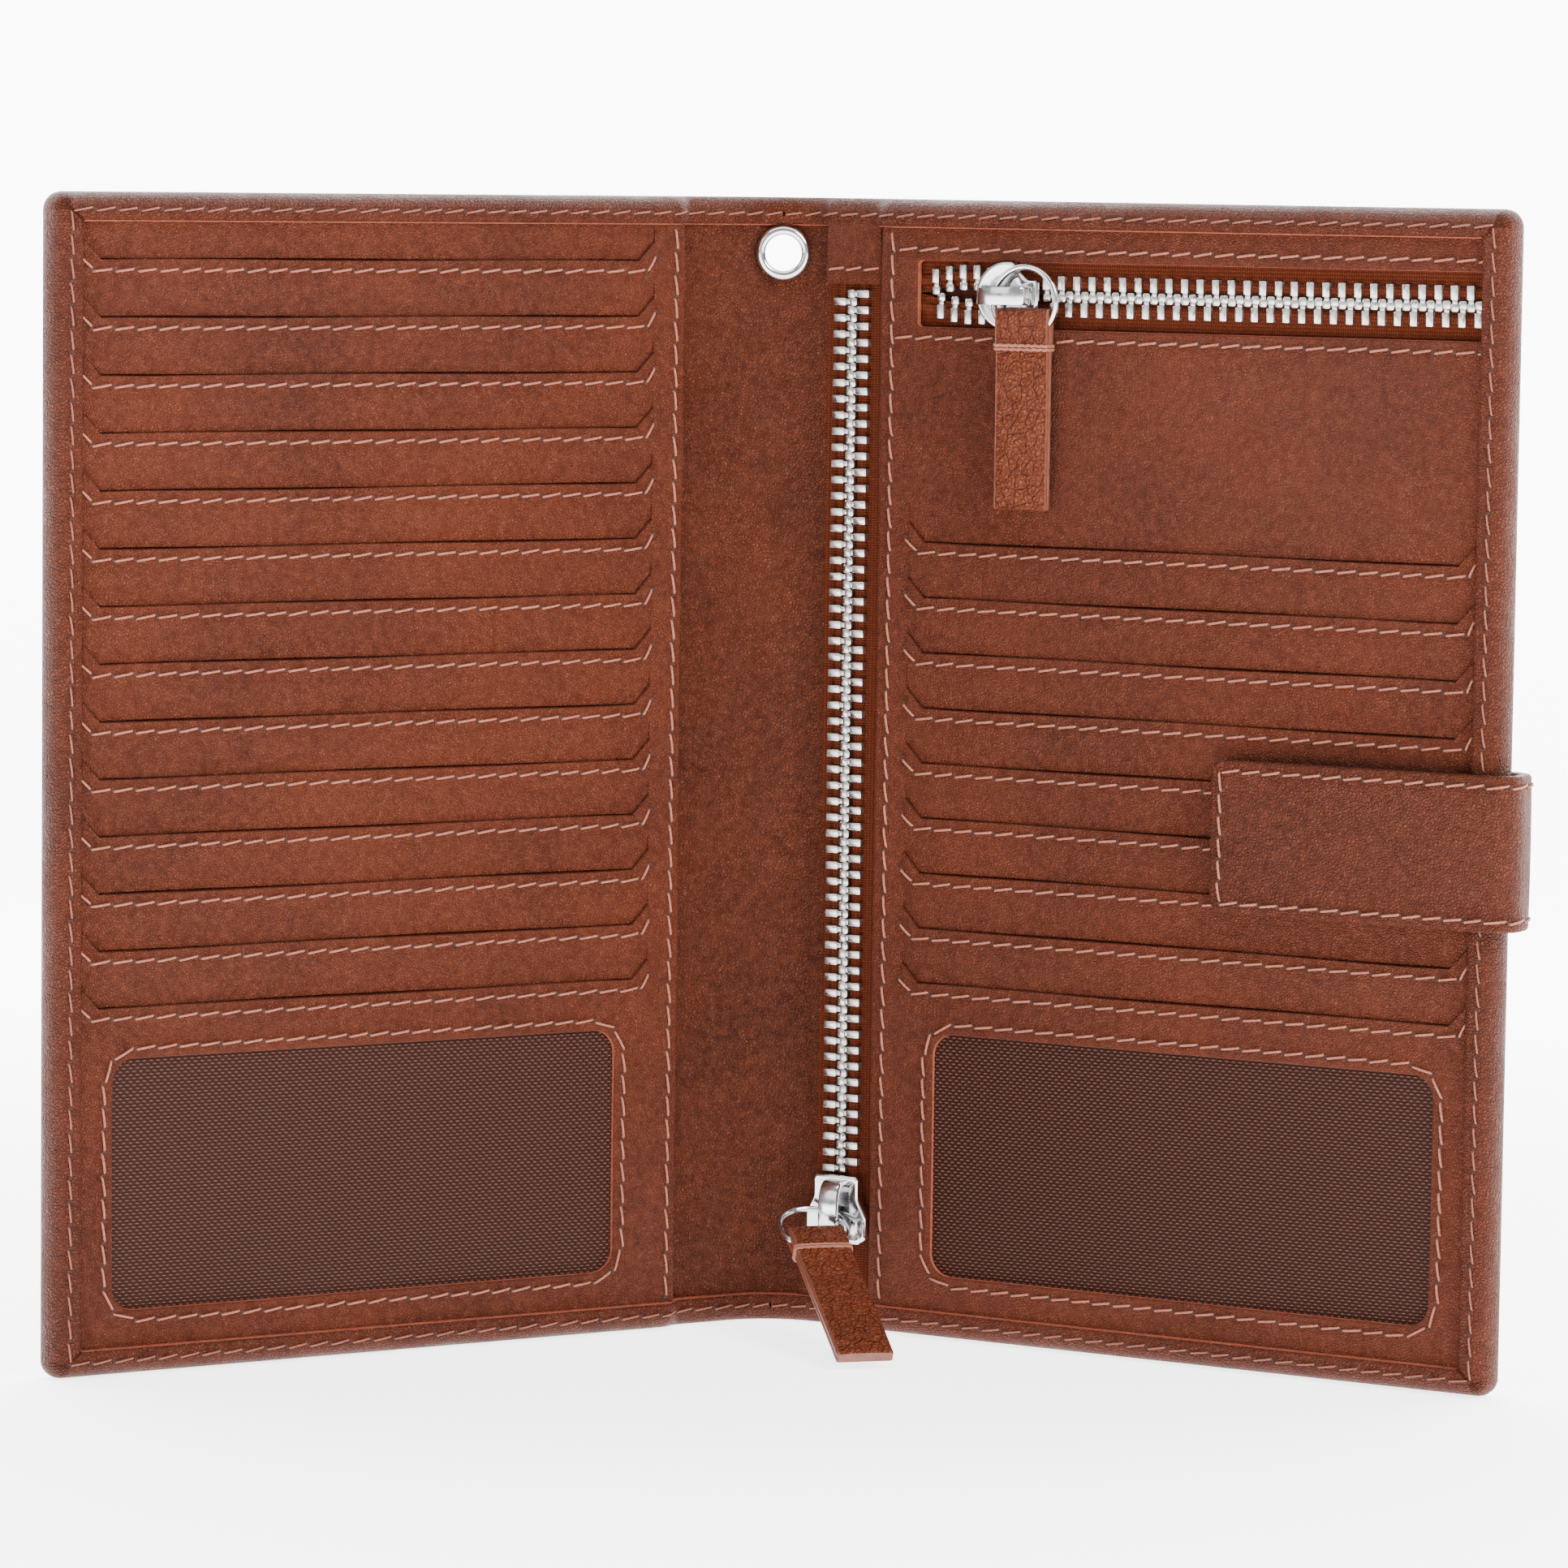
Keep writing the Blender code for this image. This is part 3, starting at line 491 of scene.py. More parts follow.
def make_cover(side, name, fold_name):
    work = Work()
    inner = [(5.35, 4.75, -1.25), (5.25, 4.65, -0.75), (5.12, 4.52, -0.32), (4.8, 4.2, -0.08),
             (4.3, 3.8, 0.0), (3.6, 3.2, 0.03), (2.9, 2.6, 0.02)]
    wall = [(2.2, 2.0, 0.985), (1.6, 1.5, 0.94), (1.1, 1.0, 0.87), (0.65, 0.6, 0.77), (0.3, 0.28, 0.64),
            (0.08, 0.08, 0.5), (0.0, 0.0, 0.36), (0.08, 0.08, 0.22), (0.35, 0.35, 0.11), (0.8, 0.8, 0.04),
            (1.5, 1.5, 0.01)]
    back = [2.5, 3.6] + [4.8 + 0.9 * i for i in range(14)] + [20, 28, 38, 50, 64, 80, 95]
    groove = pleats()
    rows = []
    flats = []
    for number, (ds, de, drop) in enumerate(inner):
        u, z = edge_loop(ds, de)
        wave = 0.10 * np.sin(0.55 * u + 0.4 * z) + 0.06 * np.sin(1.7 * u - 1.3 * z)
        fade = 1.0 if number < 5 else 0.6
        n = hem_top(side, u, z) + drop + 0.35 * wave - 0.42 * groove * fade
        rows.append(world(side, u, n, z))
        flats.append(flat_of(u, z))
    for ds, de, share in wall:
        u, z = edge_loop(ds, de)
        n = OUTER_N + share * (hem_top(side, u, z) - OUTER_N) - 0.25 * groove * ease(share, 0.6, 0.98)
        rows.append(world(side, u, n, z))
        flats.append(flat_of(u, z))
    for inset in back:
        u, z = edge_loop(inset, inset)
        u, z = round_eyelet(u, z)
        rows.append(world(side, u, OUTER_N + 0 * u, z))
        flats.append(flat_of(u, z))
    work.grid(np.array(rows[:3]), np.array(flats[:3]), paint=1)
    work.grid(np.array(rows[2:]), np.array(flats[2:]))
    open_eyelet(work, side)
    piece = work.build(name + "_cover_leather", [COVER, EDGE])
    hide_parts(*fold_name)
    bend_over_fold(piece, side, name, 2.5)


def round_eyelet(u, z):
    """Move places near the eyelet outward, so that its hole stays open."""
    away = np.hypot(u - MIDDLE_U, z - EYELET_Z)
    reach = EYELET_RIM + away * (EYELET_CLEAR - EYELET_RIM) / EYELET_CLEAR
    grow = np.where(away < EYELET_CLEAR, reach / np.maximum(away, 1e-6), 1.0)
    return MIDDLE_U + (u - MIDDLE_U) * grow, EYELET_Z + (z - EYELET_Z) * grow


def open_eyelet(work, side):
    """Drop the faces that would cover the eyelet's hole."""
    points = np.concatenate(work.points)
    centre = world(side, MIDDLE_U, 0.0, EYELET_Z)
    kept = [(face, paint) for face, paint in zip(work.faces, work.paint)
            if np.hypot(*(points[face].mean(0) - centre)[[0, 2]]) > EYELET_HOLE * MM]
    work.faces = [face for face, _ in kept]
    work.paint = [paint for _, paint in kept]


def make_lining(side, name, nodes):
    work = Work()
    last = 13.0 if side == FRONT else 0.9
    u = np.concatenate([np.linspace(MIDDLE_U, MIDDLE_U + 6, 15), np.linspace(MIDDLE_U + 6.5, last - 1.2, 22)])
    z = np.concatenate([np.linspace(3.6, 173, 90), np.linspace(173.6, 186.8, 30)])
    grid_u, grid_z = mesh_of(u, z)
    grid_u, grid_z = round_eyelet(grid_u, grid_z)
    calm = ease(np.abs(grid_z - EYELET_Z), 5.0, 12.0) * ease(grid_u, MIDDLE_U, MIDDLE_U + 3.0)
    n = LINING_N + 0.16 * calm * np.sin(0.05 * grid_z + 0.5 * grid_u) * np.sin(0.9 * grid_u + 0.021 * grid_z)
    if side == BACK:
        n = n + 0.45 * ease(grid_u, last - 6.0, last - 1.4)
    work.grid(world(side, grid_u, n, grid_z), flat_of(grid_u, grid_z))
    if side == BACK:
        lip_u = np.array([last - 1.2, last - 0.5, last - 0.12, last, last])
        lip_n = np.array([1.65, 1.68, 1.58, 1.4, 1.1])
        sway = 0.22 * np.sin(0.11 * z) + 0.1 * np.sin(0.31 * z + 1.0)
        edge_u = lip_u[:, None] + sway[None, :] * ease(lip_u, last - 1.2, last)[:, None]
        edge_n = lip_n[:, None] + 0 * edge_u
        edge_n[0] = n[-1]
        work.grid(world(side, edge_u, edge_n, z[None, :] + 0 * edge_u), flat_of(edge_u, z[None, :]))
    open_eyelet(work, side)
    piece = work.build(name + "_spine_lining", [SPINE], facing=inward(side))
    if nodes:
        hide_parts(*nodes)
    bend_over_fold(piece, side, name, 0.9)


# ---- card panels ----------------------------------------------------------------------------------
def slit_lift(u):
    """How far a slit runs above its level stretch."""
    past = np.maximum(SLIT_U[0] - u, 0) + np.maximum(u - SLIT_U[1], 0)
    return SLIT_FLARE[1] * np.minimum(past / SLIT_FLARE[0], 1.0)


def swell(u, z):
    """The panel's slow unevenness, which dies out at its borders."""
    fade = ease(u, 13.0, 22.0) * ease(WIDTH - u, 6.0, 16.0) * ease(np.abs(z - LOWEST_ROW), 0.0, 6.0)
    fade = fade * ease(np.abs(z - BLANK_TOP), 0.0, 5.0) * ease(HEIGHT - z, 2.0, 10.0) * ease(z, 2.0, 10.0)
    return fade * (0.13 * np.sin(0.062 * u + 0.11 * z) + 0.10 * np.sin(0.15 * u - 0.047 * z + 1.3))


def slit_zone(work, side, slits, top):
    """The leather between the windows, cut by slits that stand slightly proud below and sunk above."""
    low, high = SLIT_U
    reach = SLIT_FLARE[0]
    u = np.concatenate([[PANEL_BOX[0], 14.0, low - reach - 1.2, low - reach - 0.05],
                        np.linspace(low - reach, low, 6),
                        np.linspace(low, high, 62)[1:-1], np.linspace(high, high + reach, 6),
                        [high + reach + 0.05, high + reach + 1.2, PANEL_BOX[2]]])
    rows = [(LOWEST_ROW - 1.5, -0.12, 0.0), (LOWEST_ROW, 0.0, 0.0)]
    steps = [(-3.0, 0.0), (-1.5, 0.05), (-0.6, 0.15), (-0.2, 0.17), (-0.09, 0.02), (-0.05, -1.0),
             (0.05, -1.0), (0.09, -0.42), (0.25, -0.36), (1.3, -0.28), (3.2, -0.08)]
    for index in reversed(slits):
        level = SLIT_TOP - SLIT_STEP * index
        rows.extend((level + dz, dn, 1.0) for dz, dn in steps)
    last = rows[-1][0]
    count = max(2, int((top - last) / 4))
    rows.extend((v, 0.0, 1.0) for v in np.linspace(last, top, count + 1)[1:])
    if top < PANEL_BOX[3]:
        rows.append((top + 1.5, -0.12, 0.0))
    rows = np.array(rows)
    fade = np.minimum(ease(rows[:, 0], LOWEST_ROW, LOWEST_ROW + 1.6),
                      np.clip((top - rows[:, 0]) / min(10.0, top - last), 0, 1))
    lift = slit_lift(u)[:, None] * fade[None, :]
    grid_z = rows[None, :, 0] + lift
    grid_u = u[:, None] + 0 * grid_z
    cut = ((u >= low - reach - 0.001) & (u <= high + reach + 0.001))[:, None]
    under = (rows[:, 0] < LOWEST_ROW) | (rows[:, 0] > top)
    n = FACE_N + rows[None, :, 1] * (cut | under[None, :]) + swell(grid_u, grid_z) * (1.0 - 0.5 * under)
    wander = 0.10 * np.sin(0.09 * grid_u + 1.9 * np.round(rows[None, :, 0] / SLIT_STEP))
    middle = ease(grid_u, low, low + 8) * ease(high - grid_u, 0, 8) * (rows[None, :, 2] > 0)
    work.grid(world(side, grid_u, n, grid_z + wander * middle * fade), flat_of(grid_u, grid_z))


def ring_points(box, radius, grow=0.0):
    """Points round a rectangle with round corners, made larger by grow."""
    u0, z0, u1, z1 = box
    bend = np.radians(np.linspace(0, 90, 9))
    parts = []
    for cu, cz, start, length, heading in ((u1 - radius, z1 - radius, 0, u1 - u0, (-1, 0)),
                                           (u0 + radius, z1 - radius, 90, z1 - z0, (0, -1)),
                                           (u0 + radius, z0 + radius, 180, u1 - u0, (1, 0)),
                                           (u1 - radius, z0 + radius, 270, z1 - z0, (0, 1))):
        turn = bend + math.radians(start)
        out = radius + grow
        parts.append(np.stack([cu + out * np.cos(turn), cz + out * np.sin(turn)], -1))
        run = (length - 2 * radius) * np.linspace(0, 1, 26)[1:-1]
        parts.append(parts[-1][-1] + np.outer(run, heading))
    return np.concatenate(parts)


def outer_ring(box, hole, radius):
    """For each point round the hole, the point of the outer box that faces it."""
    u0, z0, u1, z1 = box
    near = ring_points(hole, radius)
    h0, g0, h1, g1 = hole
    core_u = np.clip(near[:, 0], h0 + radius, h1 - radius)
    core_z = np.clip(near[:, 1], g0 + radius, g1 - radius)
    out = near - np.stack([core_u, core_z], -1)
    out = out / np.linalg.norm(out, axis=1)[:, None]
    wide = np.where(out[:, 0] > 1e-6, (u1 - core_u) / np.maximum(out[:, 0], 1e-6),
                    np.where(out[:, 0] < -1e-6, (u0 - core_u) / np.minimum(out[:, 0], -1e-6), 1e9))
    tall = np.where(out[:, 1] > 1e-6, (z1 - core_z) / np.maximum(out[:, 1], 1e-6),
                    np.where(out[:, 1] < -1e-6, (z0 - core_z) / np.minimum(out[:, 1], -1e-6), 1e9))
    reach = np.minimum(wide, tall)
    far = np.stack([core_u, core_z], -1) + out * reach[:, None]
    for corner in ((u0, z0), (u1, z0), (u1, z1), (u0, z1)):
        far[np.argmin(np.linalg.norm(far - corner, axis=1))] = corner
    return far


def window_zone(work, side, box, hole, radius):
    """Leather round an opening, with a rounded and slightly paler cut edge."""
    far = outer_ring(box, hole, radius)
    close = ring_points(hole, radius, 1.0)
    rows = [far + (close - far) * t for t in (0.0, 0.35, 0.7, 1.0)]
    sink = [0.0] * 4
    for grow, drop in ((0.45, 0.02), (0.2, -0.06), (0.06, -0.22), (0.0, -0.45), (0.0, -1.25)):
        rows.append(ring_points(hole, radius, grow))
        sink.append(drop)
    rows = np.array(rows)
    edge = np.clip(np.arange(len(rows)) / 3.0, 0, 1)[:, None] * 0.12
    edge = edge * np.sin(0.21 * rows[..., 0] + 0.17 * rows[..., 1])
    n = FACE_N + np.array(sink)[:, None] + swell(rows[..., 0], rows[..., 1]) * 0.5 + edge * 0.5
    points = world(side, rows[..., 0], n, rows[..., 1])
    work.grid(points[:7], rows[:7], around=True)
    work.grid(points[6:], rows[6:], around=True, paint=1)


def make_panel(side, body, name, slits, coin):
    work = Work()
    u0, z0, u1, z1 = PANEL_BOX
    window_zone(work, side, (u0, z0, u1, LOWEST_ROW), WINDOW, WINDOW_RADIUS)
    if coin:
        slit_zone(work, side, slits, BLANK_TOP)
        window_zone(work, side, (u0, BLANK_TOP, u1, z1), COIN_WINDOW, 0.8)
    else:
        slit_zone(work, side, slits, z1)
    z = np.linspace(z0, z1, 120)
    profile_u = np.array([u0, 12.1, 11.85, 11.68, PANEL_EDGE, PANEL_EDGE])
    profile_n = np.array([FACE_N, FACE_N + 0.02, FACE_N - 0.08, FACE_N - 0.3, FACE_N - 0.6, LINING_N + 0.15])
    sway = 0.16 * np.sin(0.07 * z) + 0.08 * np.sin(0.23 * z + 2.0)
    edge_u = profile_u[:, None] + sway[None, :] * np.linspace(0, 1, 6)[:, None]
    edge_n = profile_n[:, None] + 0 * edge_u
    wall_flat = flat_of(edge_u, z[None, :])
    points = world(side, edge_u, edge_n, z[None, :] + 0 * edge_u)
    work.grid(points[:4], wall_flat[:4])
    work.grid(points[3:], wall_flat[3:], paint=1)
    piece = work.build(name + "_panel_leather", [PANEL, EDGE], facing=inward(side))
    join(piece, "inner_leather", body, name + "_card_panel")
    return piece


def make_window_mesh(side, body, name):
    work = Work()
    u = np.linspace(WINDOW[0] - 2, WINDOW[2] + 2, 60)
    z = np.linspace(WINDOW[1] - 2, WINDOW[3] + 2, 30)
    grid_u, grid_z = mesh_of(u, z)
    n = 3.02 + 0.10 * np.sin(0.09 * grid_u + 0.05 * grid_z) * np.sin(0.12 * grid_z)
    work.grid(world(side, grid_u, n, grid_z), flat_of(grid_u, grid_z))
    piece = work.build(name + "_window_cloth", [MESH], facing=inward(side))
    join(piece, "window_mesh", body, name + "_window_mesh")


def make_pockets(side, body, name, slits):
    """The cloth pockets behind the slits, shingled so that each lies behind the one below it."""
    work = Work()
    for index in slits:
        top = SLIT_TOP - SLIT_STEP * index - 1.0
        down = np.linspace(0, min(44.0, top - 6.0), 12)
        u = np.linspace(18.7, 118.8, 30)
        grid_u, grid_d = mesh_of(u, down)
        n = 2.70 - grid_d * 1.75 / 46.0 + 0.02 * np.sin(0.2 * grid_u) * np.sin(0.3 * grid_d)
        front = world(side, grid_u, n, top - grid_d)
        back = world(side, grid_u, n - 0.1, top - grid_d)
        flat = flat_of(grid_u, top - grid_d)
        work.grid(front, flat)
        work.grid(back, flat)
        for a, b, f in ((front[0], back[0], flat[0]), (front[-1], back[-1], flat[-1]),
                        (front[:, 0], back[:, 0], flat[:, 0]), (front[:, -1], back[:, -1], flat[:, -1])):
            work.grid(np.array([a, b]), np.array([f, f]))
    piece = work.build(name + "_pocket_cloth", [CLOTH])
    nodes = [f"{name}_pocket_{number:02d}" for number in range(1, len(slits) + 1)]
    join(piece, "pocket_fabric", body, *nodes)


def pad(work, side, box, radius, low, high, crown=0.0, paint=0):
    """A thin closed plate with soft edges, in a cover's coordinates."""
    rows = []
    heights = []
    cu, cz = (box[0] + box[2]) / 2, (box[1] + box[3]) / 2
    soft = min(0.3, (high - low) * 0.4)
    for grow, n in ((-soft, low), (-soft * 0.3, low + soft * 0.3), (0, low + soft), (0, high - soft),
                    (-soft * 0.3, high - soft * 0.3), (-soft, high)):
        rows.append(ring_points(box, radius, grow))
        heights.append(n)
    for shrink in (0.97, 0.8, 0.5, 0.2):
        rows.append(np.array([cu, cz]) + (rows[5] - np.array([cu, cz])) * shrink)
        heights.append(high + crown * (1 - shrink))
    rows.insert(0, np.array([cu, cz]) + (rows[0] - np.array([cu, cz])) * 0.2)
    heights.insert(0, low)
    rows = np.array(rows)
    n = np.array(heights)[:, None] + 0 * rows[..., 0]
    work.tube(world(side, rows[..., 0], n, rows[..., 1]), rows, paint)


def make_plate(side, body, name, node, box, radius, low, high, material, slot, crown=0.0):
    work = Work()
    pad(work, side, box, radius, low, high, crown)
    piece = work.build(name, [material])
    join(piece, slot, body, node)


# ---- seams ----------------------------------------------------------------------------------------
def make_hem_stitches(side, name):
    """The seam along the turned hem, which also crosses the fold."""
    work = Work()
    inset_side, inset_end = 3.1, 2.75
    edge = WIDTH - inset_side

    def rise(u, z):
        return hem_top(side, u, z)

    place = on_cover(side, rise)
    path = [(edge, inset_end), (edge, HEIGHT - inset_end)]
    sew(work, place, path, 0.0, side, thick=HEM_THREAD)
    for z in (inset_end, HEIGHT - inset_end):
        sew(work, place, [(MIDDLE_U, z), (edge, z)], 0.0, side, thick=HEM_THREAD)
    piece = work.build(name + "_hem_stitches", [HEM_STRING, HOLE_SHADE])
    bend_over_fold(piece, side, name, 2.5)


def slit_seam(level):
    """The stitch line below a slit follows its bent shape."""
    low, high = SLIT_U[0] - 1.5, SLIT_U[1] + 1.6
    z = level - 1.8
    return [(low - 2.0, z + 2.5), (low, z), (high, z), (high + 1.7, z + 2.2)]


def make_panel_stitches(side, body, name, slits, coin):
    work = Work()

    def rise(u, z):
        return swell(u, z) * np.where((z > LOWEST_ROW) & (z < BLANK_TOP), 1.0, 0.5)

    place = on_cover(side, rise)
    for index in slits:
        level = SLIT_TOP - SLIT_STEP * index
        path = slit_seam(level)
        for first, last in zip(path[:-1], path[1:]):
            sew(work, place, [first, last], FACE_N + 0.02, side)
    loop = ring_points(WINDOW, WINDOW_RADIUS, 1.7)
    loop = np.vstack([loop, loop[:1]])
    corners = [0, 4, 8, 33, 37, 41, 66, 70, 74, 99, 103, 107, 132]
    sew(work, place, loop[[i for i in corners if i < len(loop)]], FACE_N + 0.02, side)
    inset = 1.75 if side == FRONT else 2.3
    sew(work, place, [(PANEL_EDGE + inset, 5.5), (PANEL_EDGE + inset, 184.8)], FACE_N, side)
    if coin:
        sew(work, place, [(14.2, 167.2), (123.0, 167.2)], FACE_N, side)
        sew(work, place, [(14.8, 181.8), (123.0, 181.8)], FACE_N, side)
    piece = work.build(name + "_panel_stitches", [STRING, HOLE_SHADE])
    join(piece, "inner_leather", body)


# ---- zips -----------------------------------------------------------------------------------------
def soft_block(work, place, box, bevel, paint=0):
    """A small block with bevelled edges.  box is (a0, a1, n0, n1, b0, b1) in the placing function's order."""
    a0, a1, n0, n1, b0, b1 = box
    rings = []
    for n, inset in ((n0, bevel), (n0 + bevel, 0.0), (n1 - bevel, 0.0), (n1, bevel)):
        c = bevel * 0.8
        i = inset
        ring = [(a0 + i + c, b0 + i), (a1 - i - c, b0 + i), (a1 - i, b0 + i + c), (a1 - i, b1 - i - c),
                (a1 - i - c, b1 - i), (a0 + i + c, b1 - i), (a0 + i, b1 - i - c), (a0 + i, b0 + i + c)]
        rings.append([(a, n, b) for a, b in ring])
    rings = np.array(rings)
    work.solid(place, rings, paint)


def tooth(work, place, across, along, hand, low, high, splay=0.0):
    """One zip tooth: a flat leg on the tape and a round head past the centre line.

    hand is 1 when the leg lies on the positive side of the chain's centre.
    """
    half = 0.60
    shift = across + hand * splay
    leg = (CHAIN_HALF, 1.05, low, high, half, 0.10)
    neck = (1.15, 0.2, low + 0.2, high - 0.3, half * 0.72, 0.14)
    head = (0.5, -0.85, low + 0.15, high - 0.12, half * 1.10, 0.28)
    for near, far, n0, n1, reach, bevel in (leg, neck, head):
        a0, a1 = sorted((shift + hand * near, shift + hand * far))
        soft_block(work, place, (a0, a1, n0, n1, along - reach, along + reach), bevel)


def cord_bead(work, place, across, radius, start, end, n, paint=0):
    """The stiff woven cord that the teeth are clamped on."""
    turn = np.linspace(0, math.pi, 7)
    along = np.linspace(start, end, 120)
    a = across + radius * np.cos(turn)[:, None] + 0 * along[None, :]
    rise = n + radius * 0.7 * np.sin(turn)[:, None] + 0 * along[None, :]
    b = along[None, :] + 0 * a
    work.grid(place(a, rise, b), np.stack([a, b], -1), paint=paint)


def make_spine_zip():
    place = on_cover(BACK)
    low, high = 1.45, 3.0
    teeth = Work()
    start, end = ZIP_Z
    for hand, first in ((-1, start + 0.8), (1, start + 0.8 + ZIP_PITCH / 2)):
        for z in np.arange(first, end - 0.4, ZIP_PITCH):
            sway = 0.12 * math.sin(0.045 * z)
            tooth(teeth, place, ZIP_U + sway, z, hand, low, high)
    soft_block(teeth, place, (ZIP_U - 2.2, ZIP_U + 2.2, 1.5, 2.6, 12.4, 14.0), 0.3)
    piece = teeth.build("spine_zip_chain", [TOOTH])
    join(piece, "zip_teeth", "back", "spine_zip_teeth_inner", "spine_zip_teeth_outer",
         "spine_zip_bottom_stop")
    tape = Work()
    u = np.linspace(0.3, PANEL_EDGE + 0.3, 60)
    z = np.linspace(5.2, 176.5, 150)
    grid_u, grid_z = mesh_of(u, z)
    ribs = 0.07 * np.abs(np.sin(2.6 * grid_u)) * ease(np.abs(grid_u - ZIP_U), 3.0, 3.4)
    n = 1.55 + ribs + 0.06 * np.sin(0.06 * grid_z + grid_u)
    tape.grid(world(BACK, grid_u, n, grid_z), flat_of(grid_u, grid_z))
    for hand in (-1, 1):
        cord_bead(tape, place, ZIP_U + hand * 2.0, 0.95, 14.0, 176.0, 1.6)
    piece = tape.build("spine_zip_tapes", [TAPE], facing=inward(BACK))
    join(piece, "zip_tape", "back", "spine_zip_tape_inner", "spine_zip_tape_outer")
    tab = Work()
    pad(tab, BACK, (0.9, 175.8, 11.3, 186.6), 0.7, 1.7, 3.15, 0.15)
    piece = tab.build("spine_zip_tab_leather", [PANEL])
    join(piece, "inner_leather", "back", "spine_zip_end_tab")
    seam = Work()
    sew(seam, place, [(1.1, 178.3), (11.0, 178.3)], 3.2, 1, pitch=3.3)
    piece = seam.build("spine_zip_tab_stitches", [STRING, HOLE_SHADE])
    join(piece, "inner_leather", "back")


def make_coin_zip():
    def place(z, n, u):
        return world(BACK, u, n, z)
    low, high = 2.0, 3.45
    teeth = Work()
    for hand, first in ((1, 42.2), (-1, 42.2 + COIN_PITCH / 2)):
        for u in np.arange(first, 119.6, COIN_PITCH):
            tooth(teeth, place, COIN_Z, u, hand, low, high)
    for hand, first in ((1, 21.6), (-1, 22.6)):
        for k in range(5):
            u = first + k * COIN_PITCH * 0.92
            splay = 0.5 + 1.35 * math.sin(math.pi * min(1.0, (k + 0.4) / 5.6)) * 0.8
            tooth(teeth, place, COIN_Z, u, hand, low, high, splay)
    piece = teeth.build("coin_zip_chain", [TOOTH])
    join(piece, "zip_teeth", "back", "coin_zip_teeth_upper", "coin_zip_teeth_lower")
    tape = Work()
    u0, z0, u1, z1 = COIN_WINDOW
    u = np.linspace(u0 - 1, u1 + 1, 130)
    for hand in (-1, 1):
        edge = z1 + 1.0 if hand > 0 else z0 - 1.0
        share = np.linspace(0, 1, 22)
        mouth = 0.08 + 1.25 * ease(42.0 - u, 0.0, 9.0) * ease(u, 18.0, 25.0)
        grid_z = (COIN_Z + hand * mouth)[:, None] * (1 - share) + edge * share
        grid_u = u[:, None] + 0 * grid_z
        n = 2.2 + 0.05 * np.sin(0.2 * grid_u + grid_z) - 0.25 * ease(share, 0.8, 1.0)[None, :]
        tape.grid(world(BACK, grid_u, n, grid_z), flat_of(grid_z, grid_u))
        bead = COIN_Z + hand * (2.1 + mouth * 0.8)
        turn = np.linspace(0, math.pi, 7)
        bead_z = bead[:, None] + 0.9 * np.cos(turn)[None, :]
        bead_n = 2.2 + 0.62 * np.sin(turn)[None, :] + 0 * bead_z
        bead_u = u[:, None] + 0 * bead_z
        tape.grid(world(BACK, bead_u, bead_n, bead_z), flat_of(bead_z, bead_u))
    deep_u, deep_z = mesh_of(np.linspace(u0 - 2, u1 + 2, 40), np.linspace(z0 - 0.4, z1 + 2, 8))
    tape.grid(world(BACK, deep_u, 1.3 + 0.1 * np.sin(deep_u), deep_z), flat_of(deep_u, deep_z), paint=1)
    piece = tape.build("coin_zip_tapes", [TAPE, CLOTH], facing=inward(BACK))
    join(piece, "zip_tape", "back", "coin_zip_tape_upper", "coin_zip_tape_lower")


# ---- sliders, rings and pulls ---------------------------------------------------------------------
def slider_outline(nose):
    """Half widths of a slider's plate along its length, from the open end to the nose."""
    s = np.linspace(-5.75, 5.75, 60)
    if nose == "square":
        half = 4.25 + 1.6 * (1 - ease(s, -1.6, 2.6))
        half = half - 1.3 * ease(-s, 4.4, 5.75) ** 2 - 0.5 * ease(s, 5.35, 5.75)
    else:
        half = np.sqrt(np.maximum(5.6 ** 2 - np.minimum(s + 0.15, 0.0) ** 2, 0.0))
        half = np.where(s > 0.0, 5.6 - 3.0 * ease(s, 0.6, 4.2), half) - 0.35 * ease(s, 5.3, 5.75)
    return s, np.maximum(half, 0.25)


def slider_plate(work, place, nose, skirt, under, plate_n):
    """A slider's plate, with its top at plate_n.

    under is its lower face, which clears the teeth, and skirt is the foot of the side flanges.
    """
    s, half = slider_outline(nose)
    outline = np.concatenate([np.stack([half, s], -1), np.stack([-half[::-1], s[::-1]], -1)])
    size = np.abs(outline).max()
    rings = []
    open_ends = np.maximum(ease(np.abs(outline[:, 1]), 4.4, 5.1),
                           1 - ease(np.abs(outline[:, 0]), 3.9, 4.2))
    foot = skirt + (under - skirt) * open_ends
    for inset, n in ((4.2, under), (0.9, under), (0.88, foot + 0.1), (0.5, foot), (0.08, foot + 0.12),
                     (0.0, foot + 0.25), (0.0, plate_n - 0.34), (0.1, plate_n - 0.1), (0.34, plate_n),
                     (0.75, plate_n - 0.02), (0.95, plate_n - 0.12), (2.2, plate_n - 0.12),
                     (4.2, plate_n - 0.10)):
        scaled = outline * np.array([(size - inset) / size, (5.75 - inset) / 5.75])
        rings.append(np.stack([scaled[:, 0], n + 0 * scaled[:, 0], scaled[:, 1]], -1))
    work.solid(place, np.array(rings))


